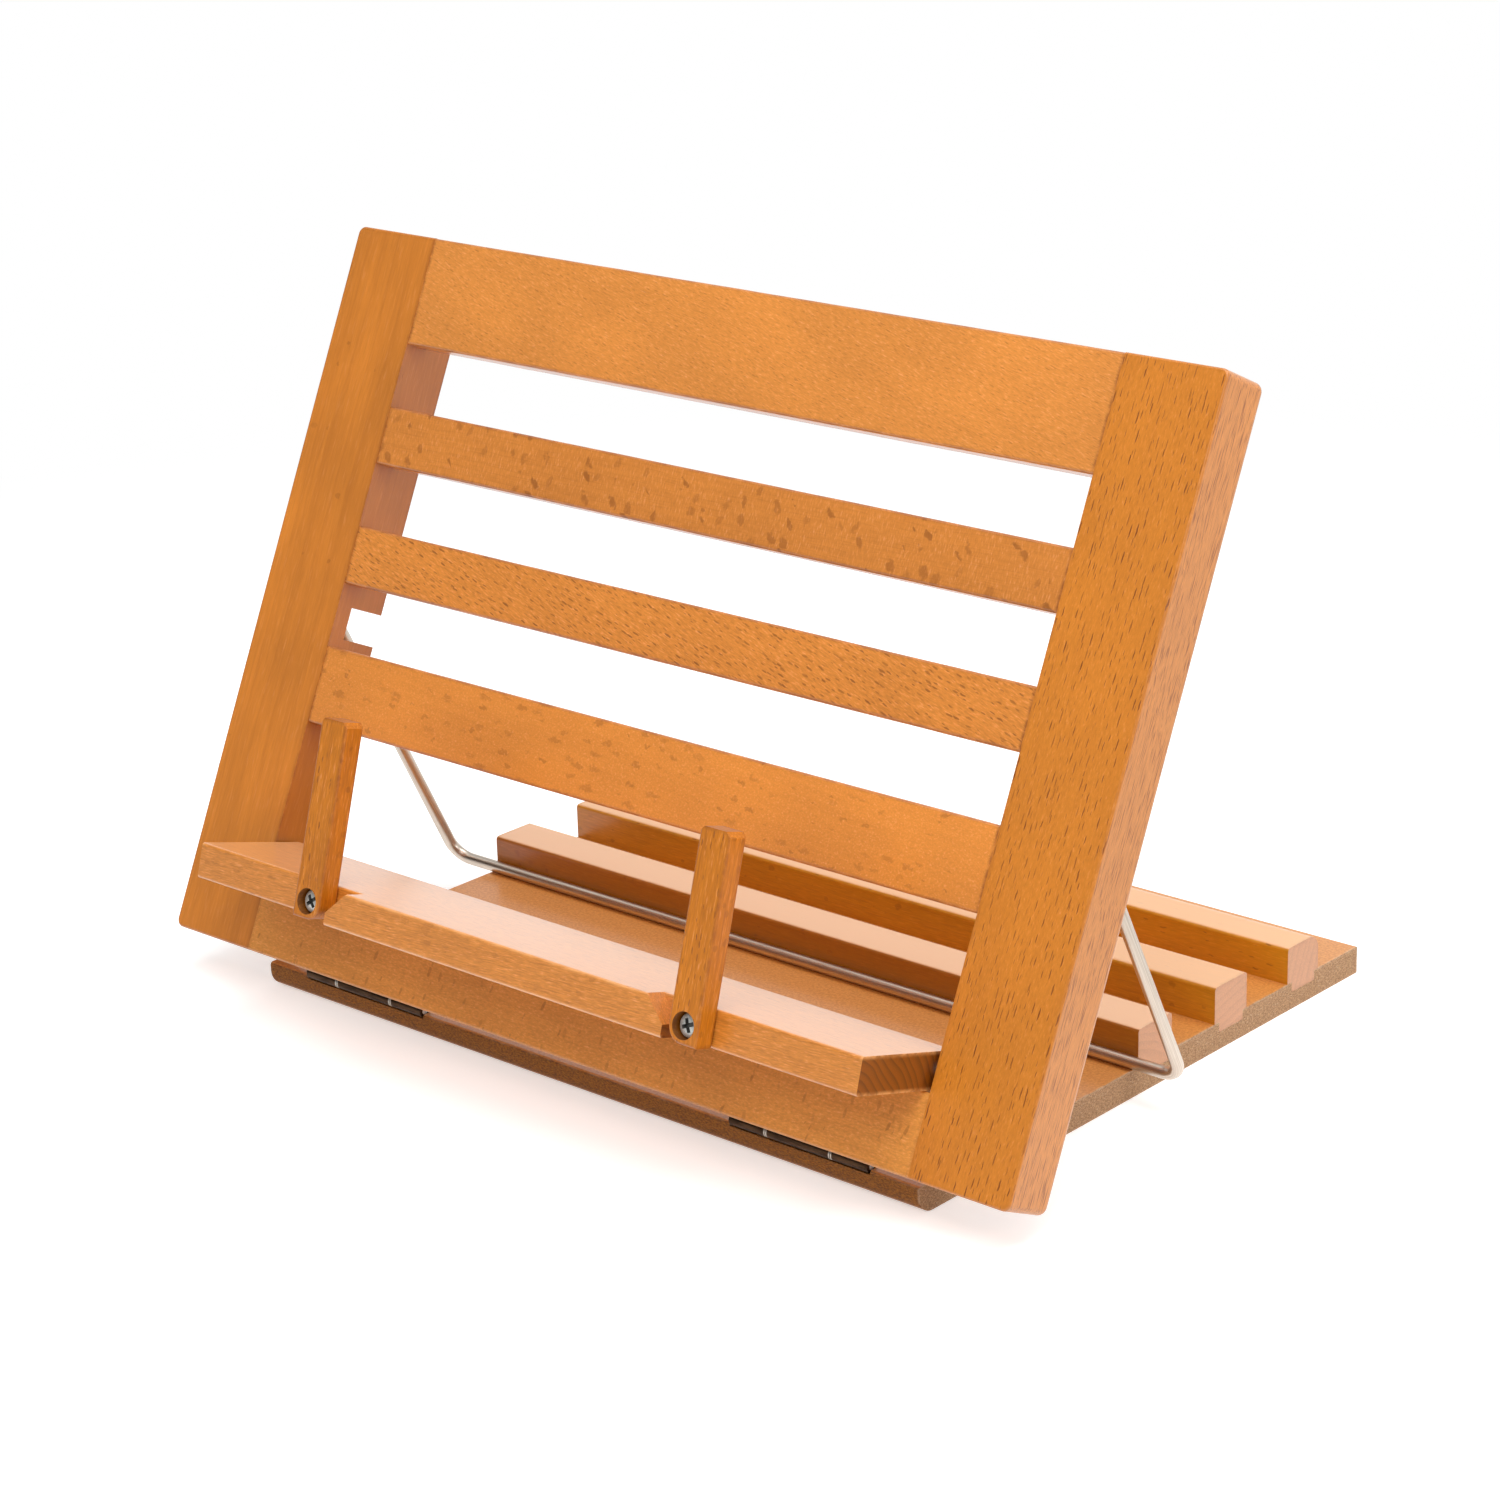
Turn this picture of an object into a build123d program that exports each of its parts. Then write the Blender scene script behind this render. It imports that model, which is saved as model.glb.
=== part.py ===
from build123d import *
import math
import os

os.makedirs("parts", exist_ok=True)

# Driving dimensions, millimetres

# Book frame: outside size, lean from the vertical in degrees, and the members
frame_width = 342.0
frame_height = 236.0
frame_lean = 25.0
stile_width = 35.0
stile_thickness = 20.0
rail_thickness = 9.5
bottom_rail_height = 24.5
ledge_opening = 51.0
lower_rail_height = 25.5
top_rail_height = 35.2
slat_share = 0.1904
rail_edge_round = 0.9
stile_edge_round = 0.8
stile_corner_round = 2.6
stile_back_corner_round = 3.0
dowel_diameter = 5.0
dowel_length = 24.0
dowel_clearance = 0.05
dowel_end_gap = 0.5

# Base board of fibreboard, with three battens let into it
base_side_gap = 2.0
base_thickness = 9.0
base_front_overhang = 1.4
base_depth = 223.0
base_toe_round = 6.2
base_edge_round = 1.0
base_side_round = 0.4
batten_height = 12.0
batten_round = 1.2
batten_heel_round = 5.0
batten_slat_clearance = 0.4
batten_slat_play = 3.2
tongue_depth = 3.2
tongue_front_step = 2.5
tongue_back_step = 2.0

# Butt hinges between the base and the bottom rail
hinge_length = 52.0
hinge_from_stile = 46.0
knuckle_radius = 2.1
knuckle_clearance = 0.4
knuckle_gap = 0.3
middle_knuckle_length = 24.0
hinge_pin_radius = 1.1
hinge_pin_play = 0.05
leaf_thickness = 1.0
leaf_width = 17.0
leaf_offset = 0.5
leaf_corner_round = 1.5
axis_above_base = 0.8
axis_below_rail = 1.2
leaf_pocket_clearance = 0.1
hinge_screw_head_radius = 2.4
hinge_screw_radius = 1.4
hinge_screw_length = 5.5
hinge_screw_spacing = 19.0
hinge_screw_inset = 9.0
hinge_screw_stagger = 3.0
hinge_screw_clearance = 0.03
screw_slot_width = 0.6
screw_slot_depth = 0.6
screw_slot_margin = 0.7

# Book ledge, tipped down at its front, turning on a pin at each end
ledge_side_gap = 1.5
ledge_depth = 42.0
ledge_thickness = 11.2
ledge_tip = 8.4
ledge_edge_round = 0.9
ledge_heel_round = 5.0
ledge_rest_clearance = 0.15
pivot_behind_front = 4.4
nose_projection = 7.2
nose_from_holder = 8.0
nose_chamfer_width = 7.5
nose_chamfer_height = 7.3
ledge_pin_radius = 2.0
ledge_pin_length = 18.0
ledge_pin_in_stile = 6.0
ledge_pin_play = 0.05
ledge_pin_clearance = 0.03

# Page holders, each turning on a screw in the front of the ledge
holder_end_margin = 1.5
holder_width = 11.0
holder_thickness = 7.4
holder_reach = 56.0
holder_foot_clearance = 0.2
holder_gap = 0.3
holder_edge_round = 0.8
holder_top_chamfer = 1.6
counterbore_radius = 4.0
counterbore_depth = 4.4
holder_screw_head_radius = 3.6
holder_screw_head_height = 2.4
holder_screw_radius = 2.0
holder_screw_play = 0.06
holder_screw_in_ledge = 15.0
holder_screw_clearance = 0.03
holder_screw_seat_gap = 0.1
holder_recess_width = 1.1
holder_recess_length = 4.4
holder_recess_depth = 1.3

# Wire prop: one bent wire, its ends turned out into the stiles
wire_radius = 2.0
wire_from_stile = 15.5
wire_pivot_height = 112.0
wire_pivot_depth = 12.5
wire_foot_bend = 7.0
wire_elbow_bend = 3.5
wire_end_length = 11.5
wire_play = 0.06
wire_floor_gap = 0.1
wire_batten_gap = 0.3
wire_end_gap = 0.5
groove_width = 4.8
groove_floor = 10.2
groove_top_margin = 2.1
notch_below_pivot = 8.1
notch_above_pivot = 2.5
notch_floor = 6.2
elbow_pocket_radius = 3.4
elbow_pocket_depth = 1.8

# One overrun for all cuts
overrun = 1.0

# Derived places

stile_inner_x = frame_width / 2 - stile_width
lower_rail_bottom = bottom_rail_height + ledge_opening
lower_rail_top = lower_rail_bottom + lower_rail_height
slats_space = frame_height - top_rail_height - lower_rail_top
slat_height = slats_space * slat_share
slat_gap = (slats_space - 2 * slat_height) / 3
lower_slat_bottom = lower_rail_top + slat_gap
lower_slat_top = lower_slat_bottom + slat_height
upper_slat_bottom = lower_slat_top + slat_gap
upper_slat_top = upper_slat_bottom + slat_height
top_rail_bottom = upper_slat_top + slat_gap

base_width = 2 * (stile_inner_x - base_side_gap)
hinge_x = stile_inner_x - hinge_from_stile
axis_z = base_thickness + axis_above_base
axis_depth = rail_thickness + axis_above_base
base_front = -base_depth / 2
axis_y = base_front + base_front_overhang
hinge_place = Pos(0, axis_y, axis_z)
upright_leaf = Rot(90, 0, 0) * Rot(0, 180, 0)
frame_place = hinge_place * Rot(-frame_lean, 0, 0) * Pos(0, -axis_depth, axis_below_rail)

batten_width = slat_gap - batten_slat_clearance - batten_slat_play
tongue_width = batten_width - tongue_front_step - tongue_back_step
batten_fronts = [
    axis_y + gap_bottom + axis_below_rail + batten_slat_clearance
    for gap_bottom in (lower_rail_top, lower_slat_top, upper_slat_top)
]

tip_sin = math.sin(math.radians(ledge_tip))
tip_cos = math.cos(math.radians(ledge_tip))
pivot_inset = ledge_thickness / 2
ledge_reach = ledge_depth - pivot_inset
ledge_lift = (ledge_thickness / 2 + ledge_rest_clearance + pivot_behind_front * tip_sin) / tip_cos
pivot_height = bottom_rail_height + ledge_lift
ledge_place = frame_place * Pos(0, pivot_behind_front, pivot_height) * Rot(ledge_tip, 0, 0)
ledge_length = 2 * (stile_inner_x - ledge_side_gap)
holder_x = ledge_length / 2 - holder_reach - holder_end_margin
nose_half_width = holder_x - nose_from_holder
holder_back = -ledge_reach - holder_gap

lean_sin = math.sin(math.radians(frame_lean))
lean_cos = math.cos(math.radians(frame_lean))
wire_pivot_v = wire_pivot_height + axis_below_rail
wire_pivot_w = wire_pivot_depth - axis_depth
wire_pivot_y = axis_y + wire_pivot_v * lean_sin + wire_pivot_w * lean_cos
wire_pivot_z = axis_z + wire_pivot_v * lean_cos - wire_pivot_w * lean_sin
wire_foot_y = batten_fronts[0] - wire_batten_gap - wire_radius
wire_foot_z = base_thickness + wire_floor_gap + wire_radius
wire_run = wire_foot_y - wire_pivot_y
wire_drop = wire_pivot_z - wire_foot_z
wire_leg = math.hypot(wire_run, wire_drop)
wire_angle = math.degrees(math.atan2(wire_run, wire_drop))
wire_x = stile_inner_x + wire_from_stile


def block(x0, x1, y0, y1, z0, z1):
    size = Box(x1 - x0, y1 - y0, z1 - z0)
    return Pos((x0 + x1) / 2, (y0 + y1) / 2, (z0 + z1) / 2) * size


def rod_x(radius, x0, x1, y=0, z=0):
    length = abs(x1 - x0)
    return Pos((x0 + x1) / 2, y, z) * Rot(0, 90, 0) * Cylinder(radius, length)


def rod_y(radius, y0, y1, x=0, z=0):
    length = abs(y1 - y0)
    return Pos(x, (y0 + y1) / 2, z) * Rot(90, 0, 0) * Cylinder(radius, length)


def edges_at(shape, along, **place):
    found = shape.edges().filter_by(along)
    for name, value in place.items():
        found = [e for e in found if abs(getattr(e.center(), name) - value) < overrun / 100]
    return ShapeList(found)


def mirror_x(shape):
    return mirror(shape, about=Plane.YZ)


def save(shape, name):
    shape.label = name
    export_step(shape, "parts/" + name + ".step")


def save_all(shapes, name):
    save(Compound(children=shapes), name)


# Frame members, drawn upright: X along the rails, Y from front to back, Z up

def rail(bottom, height):
    bar = block(-stile_inner_x, stile_inner_x, 0, rail_thickness, bottom, bottom + height)
    bar = fillet(bar.edges().filter_by(Axis.X), rail_edge_round)
    return bar - dowel_holes(bottom, height)


def dowel_heights(bottom, height):
    if height > stile_thickness:
        return [bottom + height / 4, bottom + height - height / 4]
    return [bottom + height / 2]


def dowel_rows():
    rows = []
    for bottom, height in members.values():
        rows += dowel_heights(bottom, height)
    return rows


def dowel_holes(bottom, height):
    reach = dowel_length / 2 + dowel_end_gap
    radius = dowel_diameter / 2 + dowel_clearance
    depth = rail_thickness / 2
    holes = []
    for z in dowel_heights(bottom, height):
        holes.append(rod_x(radius, stile_inner_x - reach, stile_inner_x + reach, depth, z))
        holes.append(rod_x(radius, -stile_inner_x - reach, -stile_inner_x + reach, depth, z))
    return holes


members = {
    "bottom_rail": (0, bottom_rail_height),
    "lower_rail": (lower_rail_bottom, lower_rail_height),
    "lower_slat": (lower_slat_bottom, slat_height),
    "upper_slat": (upper_slat_bottom, slat_height),
    "top_rail": (top_rail_bottom, top_rail_height),
}


def frame_dowels():
    half = dowel_length / 2
    radius = dowel_diameter / 2
    depth = rail_thickness / 2
    pegs = []
    for z in dowel_rows():
        peg = rod_x(radius, stile_inner_x - half, stile_inner_x + half, depth, z)
        pegs += [peg, mirror_x(peg)]
    return pegs


def right_stile():
    outer_x = frame_width / 2
    post = block(stile_inner_x, outer_x, 0, stile_thickness, 0, frame_height)
    post = fillet(edges_at(post, Axis.Y, X=outer_x), stile_corner_round)
    backs = edges_at(post, Axis.X, Y=stile_thickness)
    post = fillet(backs, stile_back_corner_round)
    front_loop = [e for e in post.edges() if abs(e.center().Y) < overrun / 100]
    front_loop = [e for e in front_loop if e.center().X > stile_inner_x + overrun]
    post = fillet(ShapeList(front_loop), stile_edge_round)
    post = post - wire_cuts() - ledge_pin_hole()
    for bottom, height in members.values():
        post = post - dowel_holes(bottom, height)
    return post


def wire_cuts():
    groove_inner = wire_x - groove_width / 2
    groove_outer = wire_x + groove_width / 2
    inner = stile_inner_x - overrun
    back = stile_thickness + overrun
    bar = wire_radius + groove_top_margin
    groove_top = wire_pivot_height + wire_leg + bar
    groove_bottom = -overrun
    groove = block(groove_inner, groove_outer, groove_floor, back, groove_bottom, groove_top)
    notch_bottom = wire_pivot_height - notch_below_pivot
    notch_top = wire_pivot_height + notch_above_pivot
    notch = block(inner, groove_outer, notch_floor, back, notch_bottom, notch_top)
    saddle = block(inner, groove_outer, groove_floor, back, groove_top - 2 * bar, groove_top)
    pocket_end = groove_outer + elbow_pocket_depth
    pocket = rod_x(elbow_pocket_radius, wire_x, pocket_end, wire_pivot_depth, wire_pivot_height)
    hole_radius = wire_radius + wire_play
    hole_end = wire_x + wire_end_length + wire_end_gap
    hole = rod_x(hole_radius, wire_x, hole_end, wire_pivot_depth, wire_pivot_height)
    return [groove, notch, saddle, pocket, hole]


def ledge_pin_hole():
    radius = ledge_pin_radius + ledge_pin_play
    end = stile_inner_x + ledge_pin_in_stile + dowel_end_gap
    return rod_x(radius, stile_inner_x - overrun, end, pivot_behind_front, pivot_height)


def bottom_rail():
    bar = rail(*members["bottom_rail"])
    for x in (-hinge_x, hinge_x):
        seat = Pos(x, axis_depth, -axis_below_rail) * upright_leaf
        bar = bar - leaf_cuts(seat)
    return bar


# Hinge leaves, drawn about the hinge axis with the plate lying below it

def leaf_plate(length, lift=0.0):
    bottom = -leaf_offset - leaf_thickness
    plate = block(-length / 2, length / 2, 0, leaf_width, bottom, -leaf_offset + lift)
    corners = edges_at(plate, Axis.Z, Y=leaf_width)
    return fillet(corners, leaf_corner_round)


def trough():
    length = hinge_length + 2 * knuckle_clearance
    return rod_x(knuckle_radius + knuckle_clearance, -length / 2, length / 2)


def leaf_cuts(seat):
    plate = leaf_plate(hinge_length + 2 * leaf_pocket_clearance, 2 * leaf_thickness)
    cuts = [plate, trough()] + leaf_screws(hinge_screw_clearance, 0)
    return [seat * cut for cut in cuts]


def screw_places():
    middle = hinge_screw_inset + hinge_screw_stagger
    return [(-hinge_screw_spacing, hinge_screw_inset), (0, middle), (hinge_screw_spacing, hinge_screw_inset)]


def leaf_screws(grow=0.0, slot=1):
    top = -leaf_offset
    screws = []
    for x, y in screw_places():
        head_top = hinge_screw_head_radius + grow
        shank_radius = hinge_screw_radius + grow
        head = Pos(x, y, top - leaf_thickness / 2) * Cone(shank_radius, head_top, leaf_thickness)
        shank_length = hinge_screw_length + grow
        shank = Pos(x, y, top - leaf_thickness - shank_length / 2) * Cylinder(shank_radius, shank_length)
        screw = head + shank
        if slot:
            reach = hinge_screw_head_radius - screw_slot_margin
            half = screw_slot_width / 2
            floor = top - screw_slot_depth
            screw = screw - block(x - reach, x + reach, y - half, y + half, floor, top + overrun)
            screw = screw - block(x - half, x + half, y - reach, y + reach, floor, top + overrun)
        screws.append(screw)
    return screws


def leaf(outer):
    half = hinge_length / 2
    middle = middle_knuckle_length / 2
    plate = leaf_plate(hinge_length)
    if outer:
        spans = [(-half, -middle - knuckle_gap), (middle + knuckle_gap, half)]
        gaps = [(-middle - knuckle_gap, middle + knuckle_gap)]
    else:
        spans = [(-middle, middle)]
        gaps = [(-half - overrun, -middle), (middle, half + overrun)]
    for start, end in spans:
        plate = plate + rod_x(knuckle_radius, start, end)
    for start, end in gaps:
        plate = plate - rod_x(knuckle_radius + knuckle_gap, start, end)
    play = 0 if outer else hinge_pin_play
    plate = plate - rod_x(hinge_pin_radius + play, -half - overrun, half + overrun)
    for screw in leaf_screws(hinge_screw_clearance, 0):
        plate = plate - screw
    return plate


def base_board():
    back = base_front + base_depth
    half = base_width / 2
    board = block(-half, half, base_front, back, 0, base_thickness)
    board = fillet(edges_at(board, Axis.X, Y=base_front, Z=0), base_toe_round)
    board = fillet(edges_at(board, Axis.X, Y=base_front, Z=base_thickness), base_edge_round)
    board = fillet(edges_at(board, Axis.X, Y=back), base_side_round)
    for front in batten_fronts:
        start = front + tongue_front_step
        floor = base_thickness - tongue_depth
        lid = base_thickness + overrun
        board = board - block(-half - overrun, half + overrun, start, start + tongue_width, floor, lid)
    for x in (-hinge_x, hinge_x):
        board = board - leaf_cuts(Pos(x, axis_y, axis_z))
    return board


def batten(front, heel_round):
    half = base_width / 2
    top = base_thickness + batten_height
    bar = block(-half, half, front, front + batten_width, base_thickness, top)
    bar = fillet(edges_at(bar, Axis.X, Y=front, Z=top), batten_round)
    bar = fillet(edges_at(bar, Axis.X, Y=front + batten_width, Z=top), heel_round)
    start = front + tongue_front_step
    floor = base_thickness - tongue_depth
    return bar + block(-half, half, start, start + tongue_width, floor, base_thickness)


# Ledge and page holders, drawn about the ledge's pins: Y from front to back, Z up

def ledge():
    half = ledge_length / 2
    front = -ledge_reach
    back = pivot_inset
    top = ledge_thickness / 2
    board = block(-half, half, front, back, -top, top)
    board = fillet(edges_at(board, Axis.X, Y=back, Z=-top), ledge_heel_round)
    nose = nose_outline(front, top)
    board = board + nose
    rims = board.edges().filter_by(Axis.X)
    rims = [e for e in rims if e.center().Y < front + overrun / 2]
    rims = [e for e in rims if e.center().Y < front - overrun or abs(e.center().X) > nose_half_width]
    board = fillet(ShapeList(rims), ledge_edge_round)
    board = fillet(edges_at(board, Axis.X, Y=back, Z=top), ledge_edge_round)
    for x in (-holder_x, holder_x):
        end = front + holder_screw_in_ledge + holder_screw_clearance
        board = board - rod_y(holder_screw_radius + holder_screw_clearance, front - overrun, end, x)
    for side in (-1, 1):
        inner = side * (half - ledge_pin_length + ledge_pin_in_stile)
        outer = side * (half + overrun)
        board = board - rod_x(ledge_pin_radius + ledge_pin_clearance, inner, outer)
    return board


def nose_outline(front, top):
    low = nose_half_width
    high = nose_half_width - nose_chamfer_width
    shoulder = top - nose_chamfer_height
    points = [(-low, -top), (low, -top), (low, shoulder), (high, top), (-high, top), (-low, shoulder)]
    face = Plane.XZ * make_face(Polyline(*points, close=True))
    return Pos(0, front, 0) * extrude(face, nose_projection)


def ledge_pin():
    half = ledge_length / 2
    return rod_x(ledge_pin_radius, half - ledge_pin_length + ledge_pin_in_stile,
                 stile_inner_x + ledge_pin_in_stile)


def page_holder():
    half = holder_width / 2
    foot = -ledge_thickness / 2 + holder_foot_clearance
    front = holder_back - holder_thickness
    bar = block(-half, half, front, holder_back, foot, holder_reach)
    bar = fillet(edges_at(bar, Axis.Y, X=-half, Z=foot), -foot - holder_foot_clearance)
    bar = chamfer(edges_at(bar, Axis.Y, Z=holder_reach), holder_top_chamfer)
    bar = fillet(bar.edges().filter_by(Axis.Z), holder_edge_round)
    bar = bar - rod_y(counterbore_radius, front - overrun, front + counterbore_depth)
    bar = bar - rod_y(holder_screw_radius + holder_screw_play, front - overrun, holder_back + overrun)
    return Pos(holder_x, 0, 0) * bar


def holder_screw():
    seat = holder_back - holder_thickness + counterbore_depth - holder_screw_seat_gap
    end = -ledge_reach + holder_screw_in_ledge
    head = rod_y(holder_screw_head_radius, seat - holder_screw_head_height, seat)
    head = fillet(edges_at_round(head, seat - holder_screw_head_height), holder_edge_round)
    screw = head + rod_y(holder_screw_radius, seat, end)
    reach = holder_recess_length / 2
    half = holder_recess_width / 2
    front = seat - holder_screw_head_height
    floor = front + holder_recess_depth
    screw = screw - block(-reach, reach, front - overrun, floor, -half, half)
    screw = screw - block(-half, half, front - overrun, floor, -reach, reach)
    return Pos(holder_x, 0, 0) * screw


def edges_at_round(shape, y):
    return ShapeList([e for e in shape.edges() if abs(e.center().Y - y) < overrun / 100])


# Wire prop, drawn flat: X across, Y from the pivots to the cross bar

def wire_prop():
    end_x = wire_x + wire_end_length
    corners = [(end_x, 0), (wire_x, 0), (wire_x, wire_leg), (-wire_x, wire_leg), (-wire_x, 0), (-end_x, 0)]
    bends = [wire_elbow_bend, wire_foot_bend, wire_foot_bend, wire_elbow_bend]
    edges = []
    start = Vector(*corners[0], 0)
    for index, bend in enumerate(bends, 1):
        corner = Vector(*corners[index], 0)
        into = (Vector(*corners[index - 1], 0) - corner).normalized()
        out = (Vector(*corners[index + 1], 0) - corner).normalized()
        first = corner + into * bend
        last = corner + out * bend
        middle = corner + (into + out) * bend - (into + out).normalized() * bend
        edges.append(Edge.make_line(start, first))
        edges.append(Edge.make_three_point_arc(first, middle, last))
        start = last
    edges.append(Edge.make_line(start, Vector(*corners[-1], 0)))
    path = Wire(edges)
    section = Plane(origin=(end_x, 0, 0), z_dir=(-1, 0, 0)) * Circle(wire_radius)
    flat = sweep(section, path=path)
    return Pos(0, wire_pivot_y, wire_pivot_z) * Rot(wire_angle - 90, 0, 0) * flat


def main():
    base_hinge = {}
    frame_hinge = {}
    half = hinge_length / 2
    for name, x in (("left", -hinge_x), ("right", hinge_x)):
        base_hinge[name] = Pos(x, axis_y, axis_z)
        frame_hinge[name] = base_hinge[name] * Rot(-frame_lean, 0, 0) * upright_leaf

    save(base_board(), "base_board")
    names = ["front_batten", "middle_batten", "rear_batten"]
    heels = [batten_round, batten_round, batten_heel_round]
    for name, front, heel in zip(names, batten_fronts, heels):
        save(batten(front, heel), name)

    base_screws = []
    frame_screws = []
    for name in ("left", "right"):
        save(base_hinge[name] * leaf(True), name + "_base_leaf")
        save(frame_hinge[name] * leaf(False), name + "_frame_leaf")
        save(base_hinge[name] * rod_x(hinge_pin_radius, -half, half), name + "_hinge_pin")
        base_screws += [base_hinge[name] * screw for screw in leaf_screws()]
        frame_screws += [frame_hinge[name] * screw for screw in leaf_screws()]
    save_all(base_screws, "base_leaf_screws")
    save_all(frame_screws, "frame_leaf_screws")

    stile = right_stile()
    save(frame_place * stile, "right_stile")
    save(frame_place * mirror_x(stile), "left_stile")
    for name, (bottom, height) in members.items():
        bar = bottom_rail() if name == "bottom_rail" else rail(bottom, height)
        save(frame_place * bar, name)
    save_all([frame_place * peg for peg in frame_dowels()], "frame_dowels")

    save(ledge_place * ledge(), "ledge")
    save(ledge_place * ledge_pin(), "right_ledge_pin")
    save(ledge_place * mirror_x(ledge_pin()), "left_ledge_pin")
    save(ledge_place * page_holder(), "right_page_holder")
    save(ledge_place * mirror_x(page_holder()), "left_page_holder")
    screws = [holder_screw(), mirror_x(holder_screw())]
    save_all([ledge_place * screw for screw in screws], "holder_screws")

    save(wire_prop(), "wire_prop")

    # Where the joints turn
    pivot = ledge_place * Pos(0, 0, 0)
    print("hinge axis", axis_y, axis_z)
    print("ledge axis", pivot.position)
    for side in (-1, 1):
        print("holder axis", (ledge_place * Pos(side * holder_x, 0, 0)).position)
    print("prop axis", wire_pivot_y, wire_pivot_z, "leg", wire_leg, "angle", wire_angle)


main()
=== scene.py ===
import math
import bpy
from mathutils import Euler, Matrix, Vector


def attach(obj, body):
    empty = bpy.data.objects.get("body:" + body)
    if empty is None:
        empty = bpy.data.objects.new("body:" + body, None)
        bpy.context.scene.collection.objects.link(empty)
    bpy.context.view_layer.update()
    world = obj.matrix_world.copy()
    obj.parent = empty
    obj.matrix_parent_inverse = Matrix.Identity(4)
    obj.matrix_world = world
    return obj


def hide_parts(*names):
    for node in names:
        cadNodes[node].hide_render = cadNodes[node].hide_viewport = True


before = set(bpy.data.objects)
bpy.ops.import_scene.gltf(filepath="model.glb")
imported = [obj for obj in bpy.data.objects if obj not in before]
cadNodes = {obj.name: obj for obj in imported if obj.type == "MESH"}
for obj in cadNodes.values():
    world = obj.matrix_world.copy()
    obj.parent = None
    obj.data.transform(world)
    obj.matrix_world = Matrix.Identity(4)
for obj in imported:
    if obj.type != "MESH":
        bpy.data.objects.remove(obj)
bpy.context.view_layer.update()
print("frame is in:", len(cadNodes), "nodes")

lean = 25.0        # degrees, the book frame from the vertical
ledgeLean = 16.6   # degrees, the ledge from level
perMetre = 1000.0  # millimetres


def paint(red, green, blue):
    # colours are written 0 to 255, as a paint chart gives them, and Blender wants them linear
    parts = [c / 255 for c in (red, green, blue)]
    return [c / 12.92 if c <= 0.04045 else ((c + 0.055) / 1.055) ** 2.4 for c in parts] + [1.0]


def newObject(name, data):
    made = bpy.data.objects.new(name, data)
    bpy.context.scene.collection.objects.link(made)
    return made


# Small words for building node trees

def add(tree, kind, **settings):
    node = tree.nodes.new(kind)
    for key, value in settings.items():
        setattr(node, key, value)
    return node


def feed(tree, socket, value):
    if isinstance(value, bpy.types.NodeSocket):
        tree.links.new(value, socket)
    else:
        socket.default_value = value


def feedAll(tree, sockets, values):
    for socket, value in zip(sockets, values):
        feed(tree, socket, value)


def fill(tree, node, **values):
    for key, value in values.items():
        feed(tree, node.inputs[key.replace("_", " ")], value)
    return node


def calc(tree, operation, *terms):
    node = add(tree, "ShaderNodeMath", operation=operation)
    feedAll(tree, node.inputs, terms)
    return node.outputs[0]


def times(tree, first, *others):
    for other in others:
        first = calc(tree, "MULTIPLY", first, other)
    return first


def minus(tree, first, second):
    return calc(tree, "SUBTRACT", first, second)


def vectorCalc(tree, operation, *terms):
    node = add(tree, "ShaderNodeVectorMath", operation=operation)
    feedAll(tree, [node.inputs[0], node.inputs["Scale"]] if operation == "SCALE" else node.inputs, terms)
    return node.outputs["Value" if operation in ("LENGTH", "DOT_PRODUCT") else "Vector"]


def combine(tree, x, y, z):
    node = add(tree, "ShaderNodeCombineXYZ")
    feedAll(tree, node.inputs, (x, y, z))
    return node.outputs[0]


def separate(tree, vector):
    node = add(tree, "ShaderNodeSeparateXYZ")
    feed(tree, node.inputs[0], vector)
    return node.outputs


def cloud(tree, vector, stretch, detail=2.0, rough=0.5):
    # noise from 0 to 1, stretch is how many millimetres one lump takes along each axis
    scaled = vectorCalc(tree, "DIVIDE", vector, stretch)
    node = add(tree, "ShaderNodeTexNoise", noise_dimensions="3D")
    return fill(tree, node, Vector=scaled, Scale=1.0, Detail=detail, Roughness=rough).outputs["Fac"]


def ramp(tree, value, low, high, start=0.0, end=1.0):
    node = add(tree, "ShaderNodeMapRange", interpolation_type="SMOOTHSTEP")
    return fill(tree, node, Value=value, From_Min=low, From_Max=high, To_Min=start, To_Max=end).outputs["Result"]


def blendColour(tree, share, first, second):
    node = add(tree, "ShaderNodeMix", data_type="RGBA")
    feedAll(tree, [node.inputs[i] for i in (0, 6, 7)], (share, first, second))
    return node.outputs[2]


def newGroup(name, takes, gives, kind="ShaderNodeTree"):
    # takes has the inputs' names and first values, or the word Geometry or Material for what has no value
    tree = bpy.data.node_groups.new(name, kind)
    words = {tuple: "Vector", float: "Float", int: "Int"}
    for label, value in takes.items():
        word = words.get(type(value), value)
        socket = tree.interface.new_socket(name=label, in_out="INPUT", socket_type="NodeSocket" + word)
        if word != value:
            socket.default_value = value
    for label in gives:
        word = "Geometry" if label == "Geometry" else "Float"
        tree.interface.new_socket(name=label, in_out="OUTPUT", socket_type="NodeSocket" + word)
    return tree, tree.nodes.new("NodeGroupInput").outputs, tree.nodes.new("NodeGroupOutput").inputs


def useGroup(tree, group, **values):
    node = add(tree, "ShaderNodeGroup", node_tree=group)
    return fill(tree, node, **values).outputs


# Shared effect: the short dark rays of beech, one in some of the cells of a Voronoi pattern

ray = {
    "wriggle": (1.7, 1.7, 1.7),   # millimetres, one wriggle of a ray's outline
    "wriggleShare": (0.3, 1, 1),  # how much of it goes along the grain, towards the pith and around it
    "level": 0.35,                # which rays slope neither way, from 0 to 1
    "shortest": 0.5,              # the least size, and how much more the longest has
    "growth": 0.9,
    "fadeFrom": 0.6,              # where a ray's edge starts to fade, as a share of its size
    "faintest": 0.4,
}


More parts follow.
